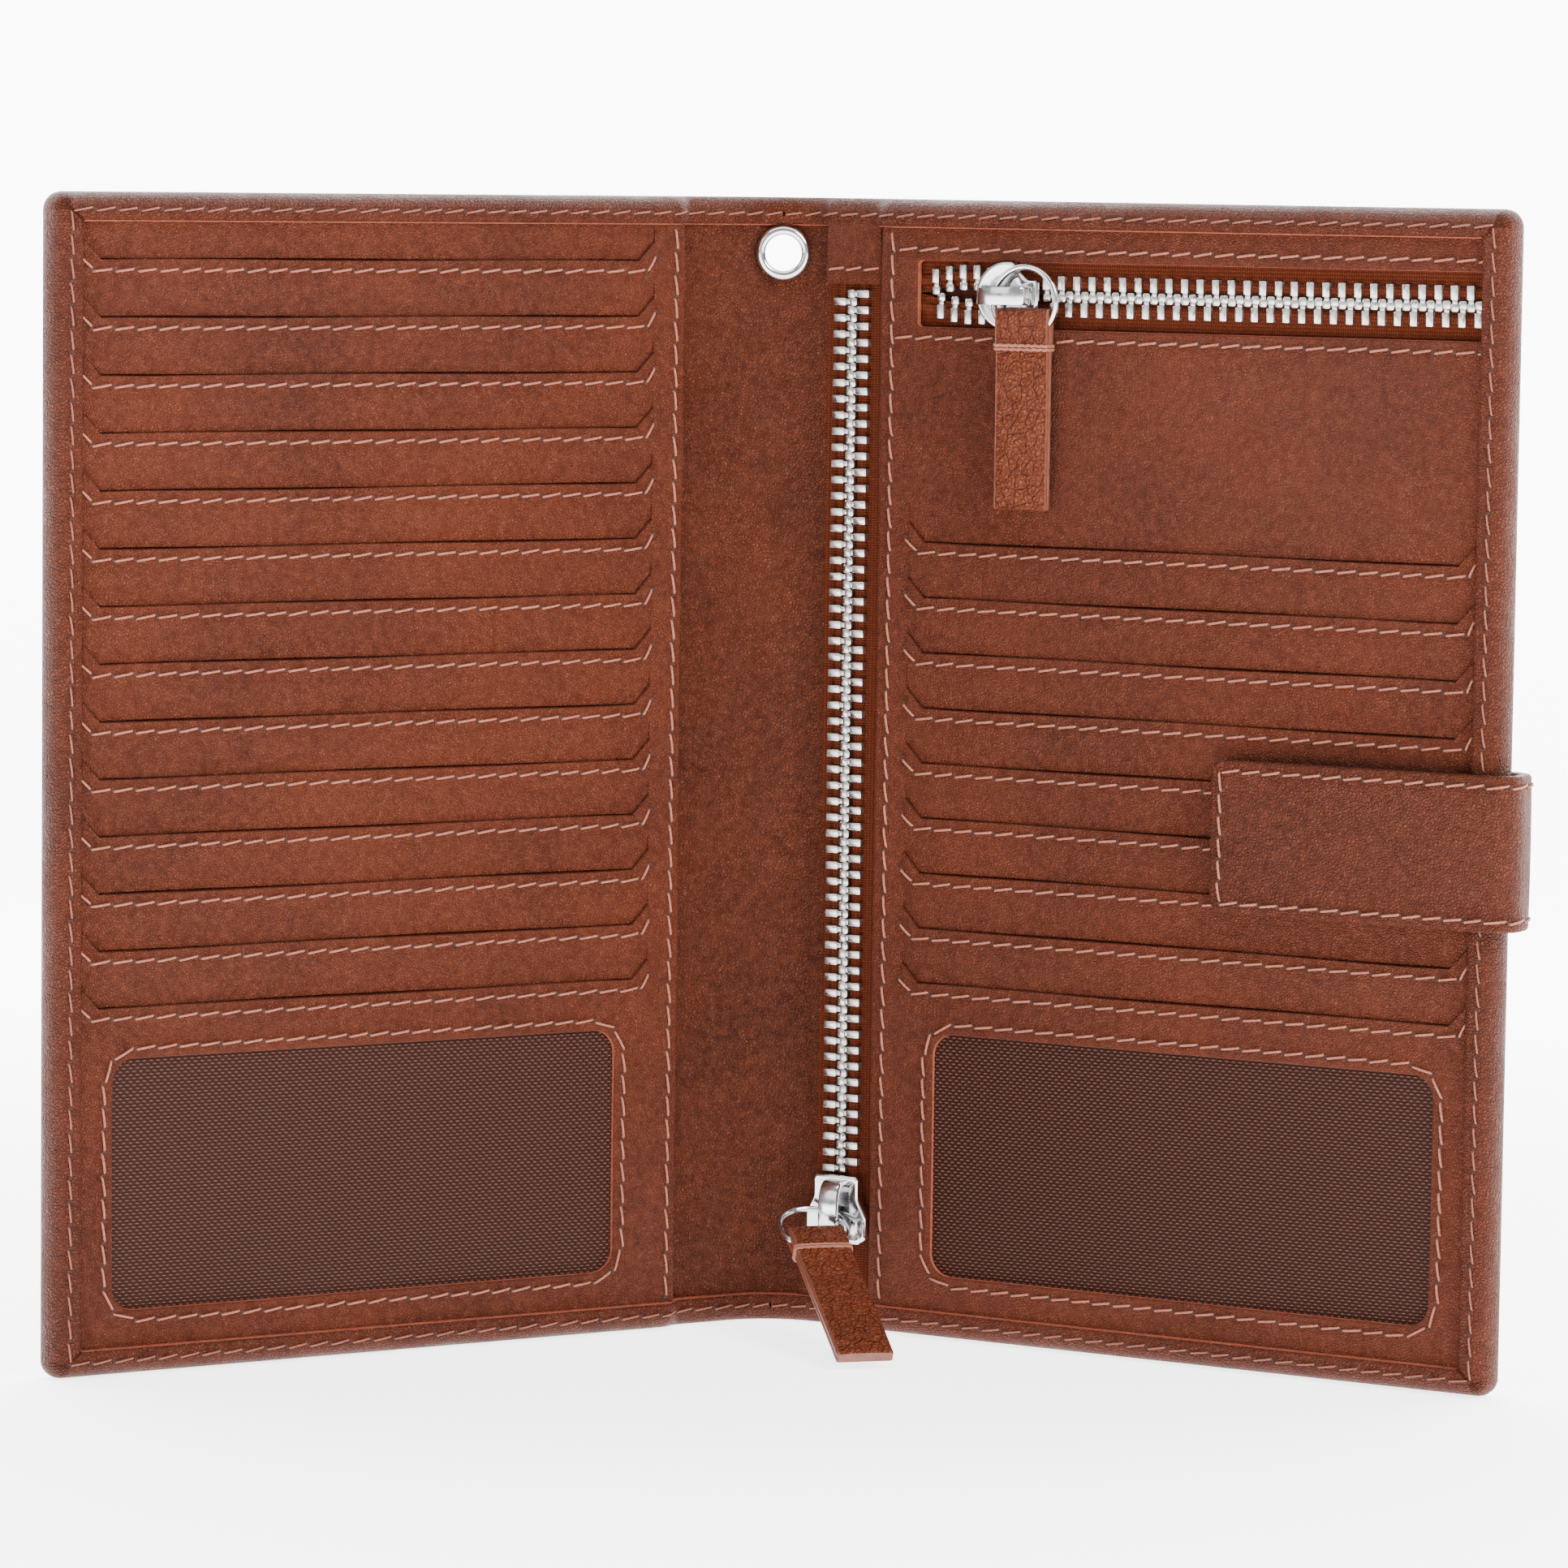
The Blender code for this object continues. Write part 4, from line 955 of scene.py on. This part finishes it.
def slider_bridge(work, place, plate_n, top, half):
    """The strap of metal over a slider that holds its ring.

    top is its highest n, and half is its half width.
    """
    path = np.array([(5.0, plate_n - 0.3), (5.0, plate_n + 0.5), (4.8, plate_n + 1.4), (4.2, top - 1.0),
                     (3.2, top - 0.42), (1.6, top - 0.1), (0.0, top), (-1.6, top - 0.06), (-3.1, top - 0.32),
                     (-4.1, top - 0.9), (-4.75, plate_n + 1.3), (-4.9, plate_n + 0.5), (-4.9, plate_n - 0.3)])
    fine = np.linspace(0, len(path) - 1, 49)
    path = np.stack([np.interp(fine, np.arange(len(path)), path[:, k]) for k in (0, 1)], -1)
    for _ in range(3):
        path[1:-1] = (path[:-2] + 2 * path[1:-1] + path[2:]) / 4
    direction = np.gradient(path, axis=0)
    direction /= np.linalg.norm(direction, axis=1)[:, None]
    outward = np.stack([direction[:, 1], -direction[:, 0]], -1)
    thick = 0.9
    profile = [(-1, 0.3), (-0.93, 0.06), (-0.8, 0.0), (0, 0.03), (0.8, 0.0), (0.93, 0.06), (1, 0.3),
               (1, 0.75), (0.85, 1.0), (-0.85, 1.0), (-1, 0.75)]
    rings = []
    for middle, out in zip(path, outward):
        spots = [(across, middle - out * depth * thick) for across, depth in profile]
        rings.append([(across * half, n, along) for across, (along, n) in spots])
    work.solid(place, np.array(rings))


def make_slider(name, node, body, place, nose, heights, bridge_half):
    """place takes across, n and along, where along points to the closed end of the zip."""
    skirt, under, plate_n, bridge_n = heights
    work = Work()
    slider_plate(work, place, nose, skirt, under, plate_n)
    slider_bridge(work, place, plate_n, bridge_n, bridge_half)
    piece = work.build(name, [CHROME])
    join(piece, "chrome_hardware", body, node)


def make_ring(name, node, body, centre, axis_a, axis_b):
    """A wire ring in the plane of two unit vectors."""
    work = Work()
    centre, axis_a, axis_b = (np.array(v) for v in (centre, axis_a, axis_b))
    normal = np.cross(axis_a, axis_b)
    around = np.linspace(0, 2 * math.pi, 96, endpoint=False)
    section = np.linspace(0, 2 * math.pi, 16, endpoint=False)
    out = np.cos(around)[:, None] * axis_a + np.sin(around)[:, None] * axis_b
    radius, wire = 5.7, 0.52
    points = centre + MM * (out[:, None, :] * (radius + wire * np.cos(section))[None, :, None]
                            + normal * (wire * np.sin(section))[None, :, None])
    flat = np.stack(np.meshgrid(around * radius, section * wire, indexing="ij"), -1)
    work.grid(points, flat, around=True, closed=True)
    piece = work.build(name, [CHROME])
    join(piece, "chrome_hardware", body, node)


def strip_section(half, thick, crown):
    """A strip's cross-section: two glued layers with a groove between them."""
    t = thick
    right = [(half - 0.45, t + 0.01), (half - 0.12, t - 0.10), (half, t - 0.35), (half - 0.02, 0.16),
             (half - 0.14, 0.0), (half - 0.02, -0.16), (half, 0.35 - t), (half - 0.12, 0.10 - t),
             (half - 0.45, -t)]
    across = (-half * 0.6, -half * 0.3, 0.0, half * 0.3, half * 0.6)
    top = [(x, t + crown * (1 - (x / half) ** 2)) for x in across]
    left = [(-x, y) for x, y in reversed(right)]
    low = [(x, -t) for x in (half * 0.5, 0.0, -half * 0.5)]
    return np.array(top + right + low + left)


def make_pull(name, node, body, centre, across, normal, out, length, curl):
    """A doubled leather strip looped on its ring.  out points from the ring's centre along the strip."""
    centre, across, normal, out = (np.array(v) for v in (centre, across, normal, out))

    def place(a, n, b):
        a, n, b = np.broadcast_arrays(a, n, b)
        sag = curl * ease(b, 8.0, length) * np.sin(np.clip((b - 8.0) / length, 0, 1) * math.pi)
        return centre + MM * (a[..., None] * across + (n + sag)[..., None] * normal + b[..., None] * out)

    end = 1.05 + length
    stations = [(1.05, 0.5), (1.12, 0.85), (1.3, 1.15), (1.65, 1.38), (2.2, 1.48), (3.4, 1.5), (5.6, 1.5),
                (6.6, 1.42), (7.4, 1.28), (8.2, 1.12), (9.2, 1.04), (10.5, 1.0)]
    stations += [(b, 1.0) for b in np.linspace(12, end - 0.5, 14)] + [(end - 0.2, 0.95), (end, 0.78)]
    rows = []
    for b, thick in stations:
        half = 4.8 - (0.16 if b > end - 0.1 else 0.0)
        ring = strip_section(half, thick, 0.12)
        rows.append([(x, y, b) for x, y in ring])
    rows = np.array(rows)
    work = Work()
    work.solid(place, rows)
    count = rows.shape[1]
    column = np.tile(np.arange(count), len(stations) - 1)
    edge = ((column >= 6) & (column <= 11)) | ((column >= 19) & (column <= 24))
    work.paint[:len(edge)] = edge.astype(int).tolist()
    work.paint[-1] = 1
    turn = np.linspace(0, 2 * math.pi, 7, endpoint=False)
    for row, b in enumerate((7.15, 7.75)):
        thick = 1.36 - 0.1 * row
        loop = strip_section(4.86, thick + 0.05, 0.12)
        loop = np.vstack([loop, loop[:1]])
        reach = np.concatenate([[0], np.cumsum(np.linalg.norm(np.diff(loop, axis=0), axis=1))])
        fine = np.linspace(0, reach[-1], 90, endpoint=False)
        loop = np.stack([np.interp(fine, reach, loop[:, k]) for k in (0, 1)], -1)
        flatten = np.array([0.25, 1.0])
        away = loop / np.maximum(np.linalg.norm(loop * flatten, axis=1), 0.01)[:, None] * flatten
        twist = 0.07 * np.sin(fine * 5.2 + row)
        rings = []
        for spot, push, wobble in zip(loop, away, twist):
            rings.append([(spot[0] + push[0] * 0.26 * math.cos(t), spot[1] + push[1] * 0.26 * math.cos(t),
                           b + wobble + 0.27 * math.sin(t)) for t in turn])
        rings = np.array(rings)
        work.grid(place(*np.moveaxis(rings, -1, 0)), rings[..., [0, 2]], around=True, closed=True, paint=2)
    piece = work.build(name, [PULLER, PAINTED, STRING])
    join(piece, "puller_leather", body, node)


def make_hardware():
    def spine_place(a, n, b):
        return world(BACK, ZIP_U + a, n, 20.25 + b)

    def coin_place(a, n, b):
        return world(BACK, 35.5 + b, n, COIN_Z + a)

    make_slider("spine_slider_chrome", "spine_zip_slider", "spine_slider", spine_place, "square",
                (2.0, 3.07, 4.05, 7.1), 1.8)
    make_slider("coin_slider_chrome", "coin_zip_slider", "coin_slider", coin_place, "round",
                (2.7, 3.52, 4.45, 8.2), 1.5)
    heading, dip = math.radians(14.5), math.radians(25.0)
    out = Vector((math.sin(heading) * math.cos(dip), -math.cos(heading) * math.cos(dip), -math.sin(dip)))
    across = Vector((math.cos(heading), math.sin(heading), 0.0))
    face = inward(BACK)
    turn = math.atan2(-across.dot(face), out.dot(face))
    ring_axis = across * math.cos(turn) + out * math.sin(turn)
    ring_out = out * math.cos(turn) - across * math.sin(turn)
    centre = point(BACK, ZIP_U, 5.3, 19.6) + ring_out * 5.7 * MM
    make_ring("spine_ring_wire", "spine_zip_ring", "spine_ring", centre, ring_axis, ring_out)
    make_pull("spine_pull_leather", "spine_zip_puller", "spine_puller", centre, across,
              across.cross(out) * -1.0, out, 37.0, 0.25)
    along = Vector((math.cos(FOLD), -math.sin(FOLD), 0.0))
    down = Vector((0, 0, -1.0))
    centre = point(BACK, 34.0, 6.05, 173.6) + along * 5.7 * MM
    make_ring("coin_ring_wire", "coin_zip_ring", "coin_ring", centre, along, Vector((0, 0, 1.0)))
    make_pull("coin_pull_leather", "coin_zip_puller", "coin_puller", centre, along, face, down, 33.0, 0.0)


def make_eyelet():
    """The rolled eyelet and the washer behind the spine."""
    centre_y = -BOW * math.cos(FOLD)
    seat = centre_y + math.sqrt((BOW - LINING_N) ** 2 - 4.65 ** 2) - 0.3
    rear = centre_y + BOW + 1.0 + 0.3
    tail = rear + 0.7
    bore = [(3.0, tail), (3.0, seat - 0.45), (3.08, seat - 0.62), (3.25, seat - 0.8), (3.5, seat - 0.92),
            (3.78, seat - 0.95)]
    flange = [(4.05, seat - 0.88), (4.32, seat - 0.7), (4.52, seat - 0.45), (4.64, seat - 0.15),
              (4.65, seat + 0.1), (4.5, seat + 0.25), (3.6, seat + 0.3), (3.6, tail)]
    washer = [(3.7, rear - 0.25), (4.65, rear - 0.2), (4.65, rear + 0.1), (4.5, rear + 0.45),
              (4.1, rear + 0.66), (3.8, rear + 0.62), (3.62, rear + 0.4)]
    for name, node, profile in (("eyelet_chrome", "eyelet", bore + flange),
                                ("washer_chrome", "eyelet_washer", washer)):
        work = Work()
        turn = np.linspace(0, 2 * math.pi, 96, endpoint=False)
        profile = np.array(profile)
        x = np.cos(turn)[:, None] * profile[:, 0]
        z = EYELET_Z + np.sin(turn)[:, None] * profile[:, 0]
        y = profile[:, 1][None, :] + 0 * x
        flat = np.stack(np.meshgrid(turn * 4, np.arange(len(profile)) * 0.3, indexing="ij"), -1)
        work.grid(np.stack([x, y, z], -1) * MM, flat, around=True, closed=True)
        piece = work.build(name, [CHROME])
        join(piece, "chrome_hardware", "spine", node)


# ---- closing strap --------------------------------------------------------------------------------
STRAP_LOW, STRAP_HIGH = 75.5, 100.5
STRAP_TIP_U = 75.7


def strap_line():
    """The strap's centre line as (u, n), from under the back cover round the edge to the tip."""
    bend = np.radians(np.linspace(-90, 0, 22))
    parts = [np.stack([np.linspace(92.0, 124.0, 34), np.full(34, -2.3)], -1),
             np.stack([124.4 + 3.5 * np.cos(bend), 1.2 + 3.5 * np.sin(bend)], -1),
             np.stack([np.full(5, 127.9), np.linspace(1.5, 2.6, 5)], -1),
             np.stack([124.4 + 3.5 * np.cos(bend + math.pi / 2), 2.9 + 3.5 * np.sin(bend + math.pi / 2)], -1),
             np.stack([np.linspace(124.0, STRAP_TIP_U, 100), np.full(100, 6.4)], -1)]
    return np.concatenate(parts)


def strap_ring(wide, thin):
    """The strap's cross-section as (n, z), with a crowned face and soft edges."""
    ring = []
    for share in np.linspace(-1, 1, 15):
        ring.append((thin + 0.10 * (1 - share ** 2), share * (wide - 0.75)))
    upper = [(thin - 0.06, wide - 0.32), (thin - 0.28, wide - 0.07), (thin - 0.6, wide), (-thin + 0.5, wide),
             (-thin + 0.15, wide - 0.12), (-thin, wide - 0.5)]
    ring.extend(upper)
    ring.extend((-thin, share * wide) for share in np.linspace(0.9, -0.9, 8))
    ring.extend((n, -z) for n, z in reversed(upper))
    return ring


def make_strap():
    line = strap_line()
    step = np.linalg.norm(np.diff(line, axis=0), axis=1)
    reach = np.concatenate([[0], np.cumsum(step)])
    total = reach[-1]
    ahead = np.gradient(line, axis=0)
    ahead /= np.linalg.norm(ahead, axis=1)[:, None]
    outward = np.stack([ahead[:, 1], -ahead[:, 0]], -1)

    def place(s, n, z):
        """s along the strap from its hidden end, n out of its outer face, z up."""
        s, n, z = np.broadcast_arrays(s, n, z)
        u = np.interp(s, reach, line[:, 0]) + n * np.interp(s, reach, outward[:, 0])
        inner = np.interp(s, reach, line[:, 1]) + n * np.interp(s, reach, outward[:, 1])
        return world(BACK, u, inner, z)

    edge_middle = float(np.interp(0.5, [0, 1], reach[[57, 59]]))
    bridge_middle = total - (120.6 - STRAP_TIP_U)
    stretches = [
        ("strap_root_leather", 0.0, edge_middle, ("strap_anchor", "strap_edge"), ("back", "strap_turn"),
         (124.5, -2.3), (127.9, 0.5)),
        ("strap_edge_leather", edge_middle, bridge_middle, ("strap_bridge",), ("strap_turn", "strap_middle"),
         (127.9, 3.5), (124.5, 6.4)),
        ("strap_tip_leather", bridge_middle, total, ("strap_tab", "strap_tab_lining", "tab_magnet"),
         ("strap_middle", "strap_end"), (116.5, 6.4), (113.0, 6.4))]
    middle_z = (STRAP_LOW + STRAP_HIGH) / 2
    half = (STRAP_HIGH - STRAP_LOW) / 2
    radius = 2.5
    for name, first, last, nodes, bodies, start, end in stretches:
        work = Work()
        stops = np.linspace(first, last, max(12, int((last - first) / 0.7)))
        tip = name.startswith("strap_tip")
        if tip:
            stops = np.concatenate([stops[stops < total - radius - 0.3],
                                    total - radius + radius * np.sin(np.linspace(0, math.pi / 2, 14)) - 0.02])
        rings = []
        for s in stops:
            into = max(0.0, s - (total - radius))
            wide = half - radius + math.sqrt(max(radius ** 2 - into ** 2, 0.0))
            thin = 1.0 - 0.35 * float(ease(s, total - 0.5, total))
            rings.append([(s, n, middle_z + z) for n, z in strap_ring(wide, thin)])
        rings = np.array(rings)
        work.solid(place, rings, caps=False)
        size = rings.shape[1]
        for end_ring, shown in ((rings[0], first == 0.0), (rings[-1], tip)):
            if shown:
                work.add(place(*end_ring.T), end_ring[:, [0, 2]], [list(range(size))])
        piece = work.build(name, [COVER])
        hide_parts(*nodes)
        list(bodies)
        point(BACK, *start, 88)
        point(BACK, *end, 88)
        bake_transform(piece)
    seam = 1.75
    seam_top = total - seam
    joints = [(first, min(last, seam_top)) for _, first, last, *_ in stretches]
    for (name, _, _, _, bodies, start, end), (first, last) in zip(stretches, joints):
        work = Work()
        begin = max(first, reach[34])
        for z in (STRAP_LOW + seam, STRAP_HIGH - seam):
            sew(work, place, [(begin, z), (last, z)], 1.06, -1.0, pitch=3.5)
        if last == seam_top:
            across = [(seam_top, STRAP_LOW + seam), (seam_top, STRAP_HIGH - seam)]
            sew(work, place, across, 1.06, -1.0, pitch=3.5)
        piece = work.build(name.replace("leather", "stitches"), [STRING, HOLE_SHADE])
        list(bodies)
        point(BACK, *start, 88)
        point(BACK, *end, 88)
        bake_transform(piece)


# ---- the object -----------------------------------------------------------------------------------
LEFT_SLITS = list(range(14))
RIGHT_SLITS = list(range(5, 14))

make_cover(FRONT, "front", ("front_cover", "spine_cover"))
make_cover(BACK, "back", ("back_cover",))
make_lining(FRONT, "front", ("spine_lining",))
make_lining(BACK, "back", ())
for cover_side, cover_body, panel_name, cover_slits in ((FRONT, "front", "left", LEFT_SLITS),
                                                        (BACK, "back", "right", RIGHT_SLITS)):
    panel = make_panel(cover_side, cover_body, panel_name, cover_slits, cover_side == BACK)
    make_window_mesh(cover_side, cover_body, panel_name)
    make_pockets(cover_side, cover_body, panel_name, cover_slits)
    make_panel_stitches(cover_side, cover_body, panel_name, cover_slits, cover_side == BACK)
    make_hem_stitches(cover_side, cover_body)
    make_plate(cover_side, cover_body, cover_body + "_board_card", cover_body + "_board", BOARD_BOX,
               2.0, 0.3, 0.7, CARD, "board")
make_plate(FRONT, "front", "keeper_steel_plate", "keeper_plate", KEEPER_BOX, 1.0, 0.72, 0.95, STEEL,
           "keeper_steel")
make_plate(BACK, "back", "coin_bag_cloth", "coin_pocket_bag", BAG_BOX, 3.0, 1.0, 1.7, CLOTH,
           "pocket_fabric", 0.1)
make_spine_zip()
make_coin_zip()
make_hardware()
make_eyelet()
make_strap()


# ---- surroundings ---------------------------------------------------------------------------------
def make_floor():
    look = Look("paper")
    look.set(Base_Color=look.mix(look.noise(8.0), (0.93, 0.93, 0.93), (0.96, 0.96, 0.96)), Roughness=0.85,
             Emission_Color=(1.0, 1.0, 1.0, 1.0), Emission_Strength=FLOOR_GLOW)
    bpy.ops.mesh.primitive_grid_add(x_subdivisions=8, y_subdivisions=8, size=12.0, location=(0, 0, 0))
    floor = bpy.context.active_object
    floor.name = "studio_floor"
    floor.data.materials.append(look.material)


def make_backdrop():
    """A glowing paper wall behind the wallet, which runs out on to the floor and is clear from its rear."""
    look = Look("backdrop_glow")
    away = look.node("ShaderNodeSeparateXYZ", {"Vector": look.where})["Y"]
    glow = look.stretch(away, 0.15, 0.60, FLOOR_GLOW, BACKDROP_GLOW)
    look.set(Base_Color=look.mix(look.noise(8.0), (0.93, 0.93, 0.93), (0.96, 0.96, 0.96)), Roughness=0.85,
             Emission_Color=(1.0, 1.0, 1.0, 1.0), Emission_Strength=glow)
    clear = look.tree.nodes.new("ShaderNodeBsdfTransparent")
    either = look.tree.nodes.new("ShaderNodeMixShader")
    look.tree.links.new(look.node("ShaderNodeNewGeometry")["Backfacing"], either.inputs[0])
    look.tree.links.new(look.shader.outputs[0], either.inputs[1])
    look.tree.links.new(clear.outputs[0], either.inputs[2])
    look.tree.links.new(either.outputs[0], look.tree.nodes["Material Output"].inputs["Surface"])
    bend = np.radians(np.linspace(-90, 0, 14))
    y = np.concatenate([np.linspace(0.10, 0.46, 9), 0.5 + 0.12 * np.cos(bend), [0.62, 0.62]])
    z = np.concatenate([np.full(9, 0.0006), 0.1206 + 0.12 * np.sin(bend), [1.0, 2.2]])
    x = np.linspace(-4.0, 4.0, 9)
    points = np.stack(np.broadcast_arrays(x[:, None], y[None, :], z[None, :]), -1)
    work = Work()
    work.grid(points, points[..., [0, 2]])
    work.build("studio_backdrop", [look.material], facing=Vector((0, -1, 0.2)))


def make_light(name, place, aim, size, power, colour=(1.0, 1.0, 1.0)):
    data = bpy.data.lights.new(name, "AREA")
    data.shape = "RECTANGLE"
    data.size, data.size_y = size
    data.energy = power
    data.color = colour
    lamp = bpy.data.objects.new(name, data)
    lamp.location = place
    lamp.rotation_euler = (Vector(aim) - Vector(place)).to_track_quat("-Z", "Y").to_euler()
    bpy.context.scene.collection.objects.link(lamp)


def make_world():
    studio = bpy.data.worlds.new("studio")
    studio.use_nodes = True
    back = studio.node_tree.nodes["Background"]
    back.inputs["Color"].default_value = (1.0, 1.0, 1.0, 1.0)
    back.inputs["Strength"].default_value = 0.55
    bpy.context.scene.world = studio


def make_camera():
    """The camera stands a good metre in front, a little above the wallet's upper edge."""
    pitch, roll = 0.0941188, 0.0125489
    ahead = Vector((0.0, math.cos(pitch), -math.sin(pitch)))
    up = Vector((0.0, math.sin(pitch), math.cos(pitch)))
    level = Vector((1.0, 0.0, 0.0))
    right = level * math.cos(roll) + up * math.sin(roll)
    over = up * math.cos(roll) - level * math.sin(roll)
    data = bpy.data.cameras.new("camera")
    data.lens = 155.2
    data.sensor_width = 36.0
    data.clip_end = 30.0
    camera = bpy.data.objects.new("camera", data)
    matrix = Matrix((right, over, -ahead)).transposed().to_4x4()
    matrix.translation = Vector((0.0012, -1.133594, 0.19852))
    camera.matrix_world = matrix
    bpy.context.scene.collection.objects.link(camera)
    bpy.context.scene.camera = camera


FLOOR_GLOW = 3.2
BACKDROP_GLOW = 6.0
make_floor()
make_backdrop()
make_world()
make_light("key", (0.85, -0.85, 0.9), (0, -0.03, 0.12), (0.6, 0.6), 26.0)
make_light("fill", (-1.0, -0.9, 0.6), (0, -0.03, 0.12), (0.7, 0.7), 3.0)
make_light("front_floor", (0.0, -0.45, 1.3), (0, -0.12, 0.0), (1.6, 0.4), 8.0)
make_camera()
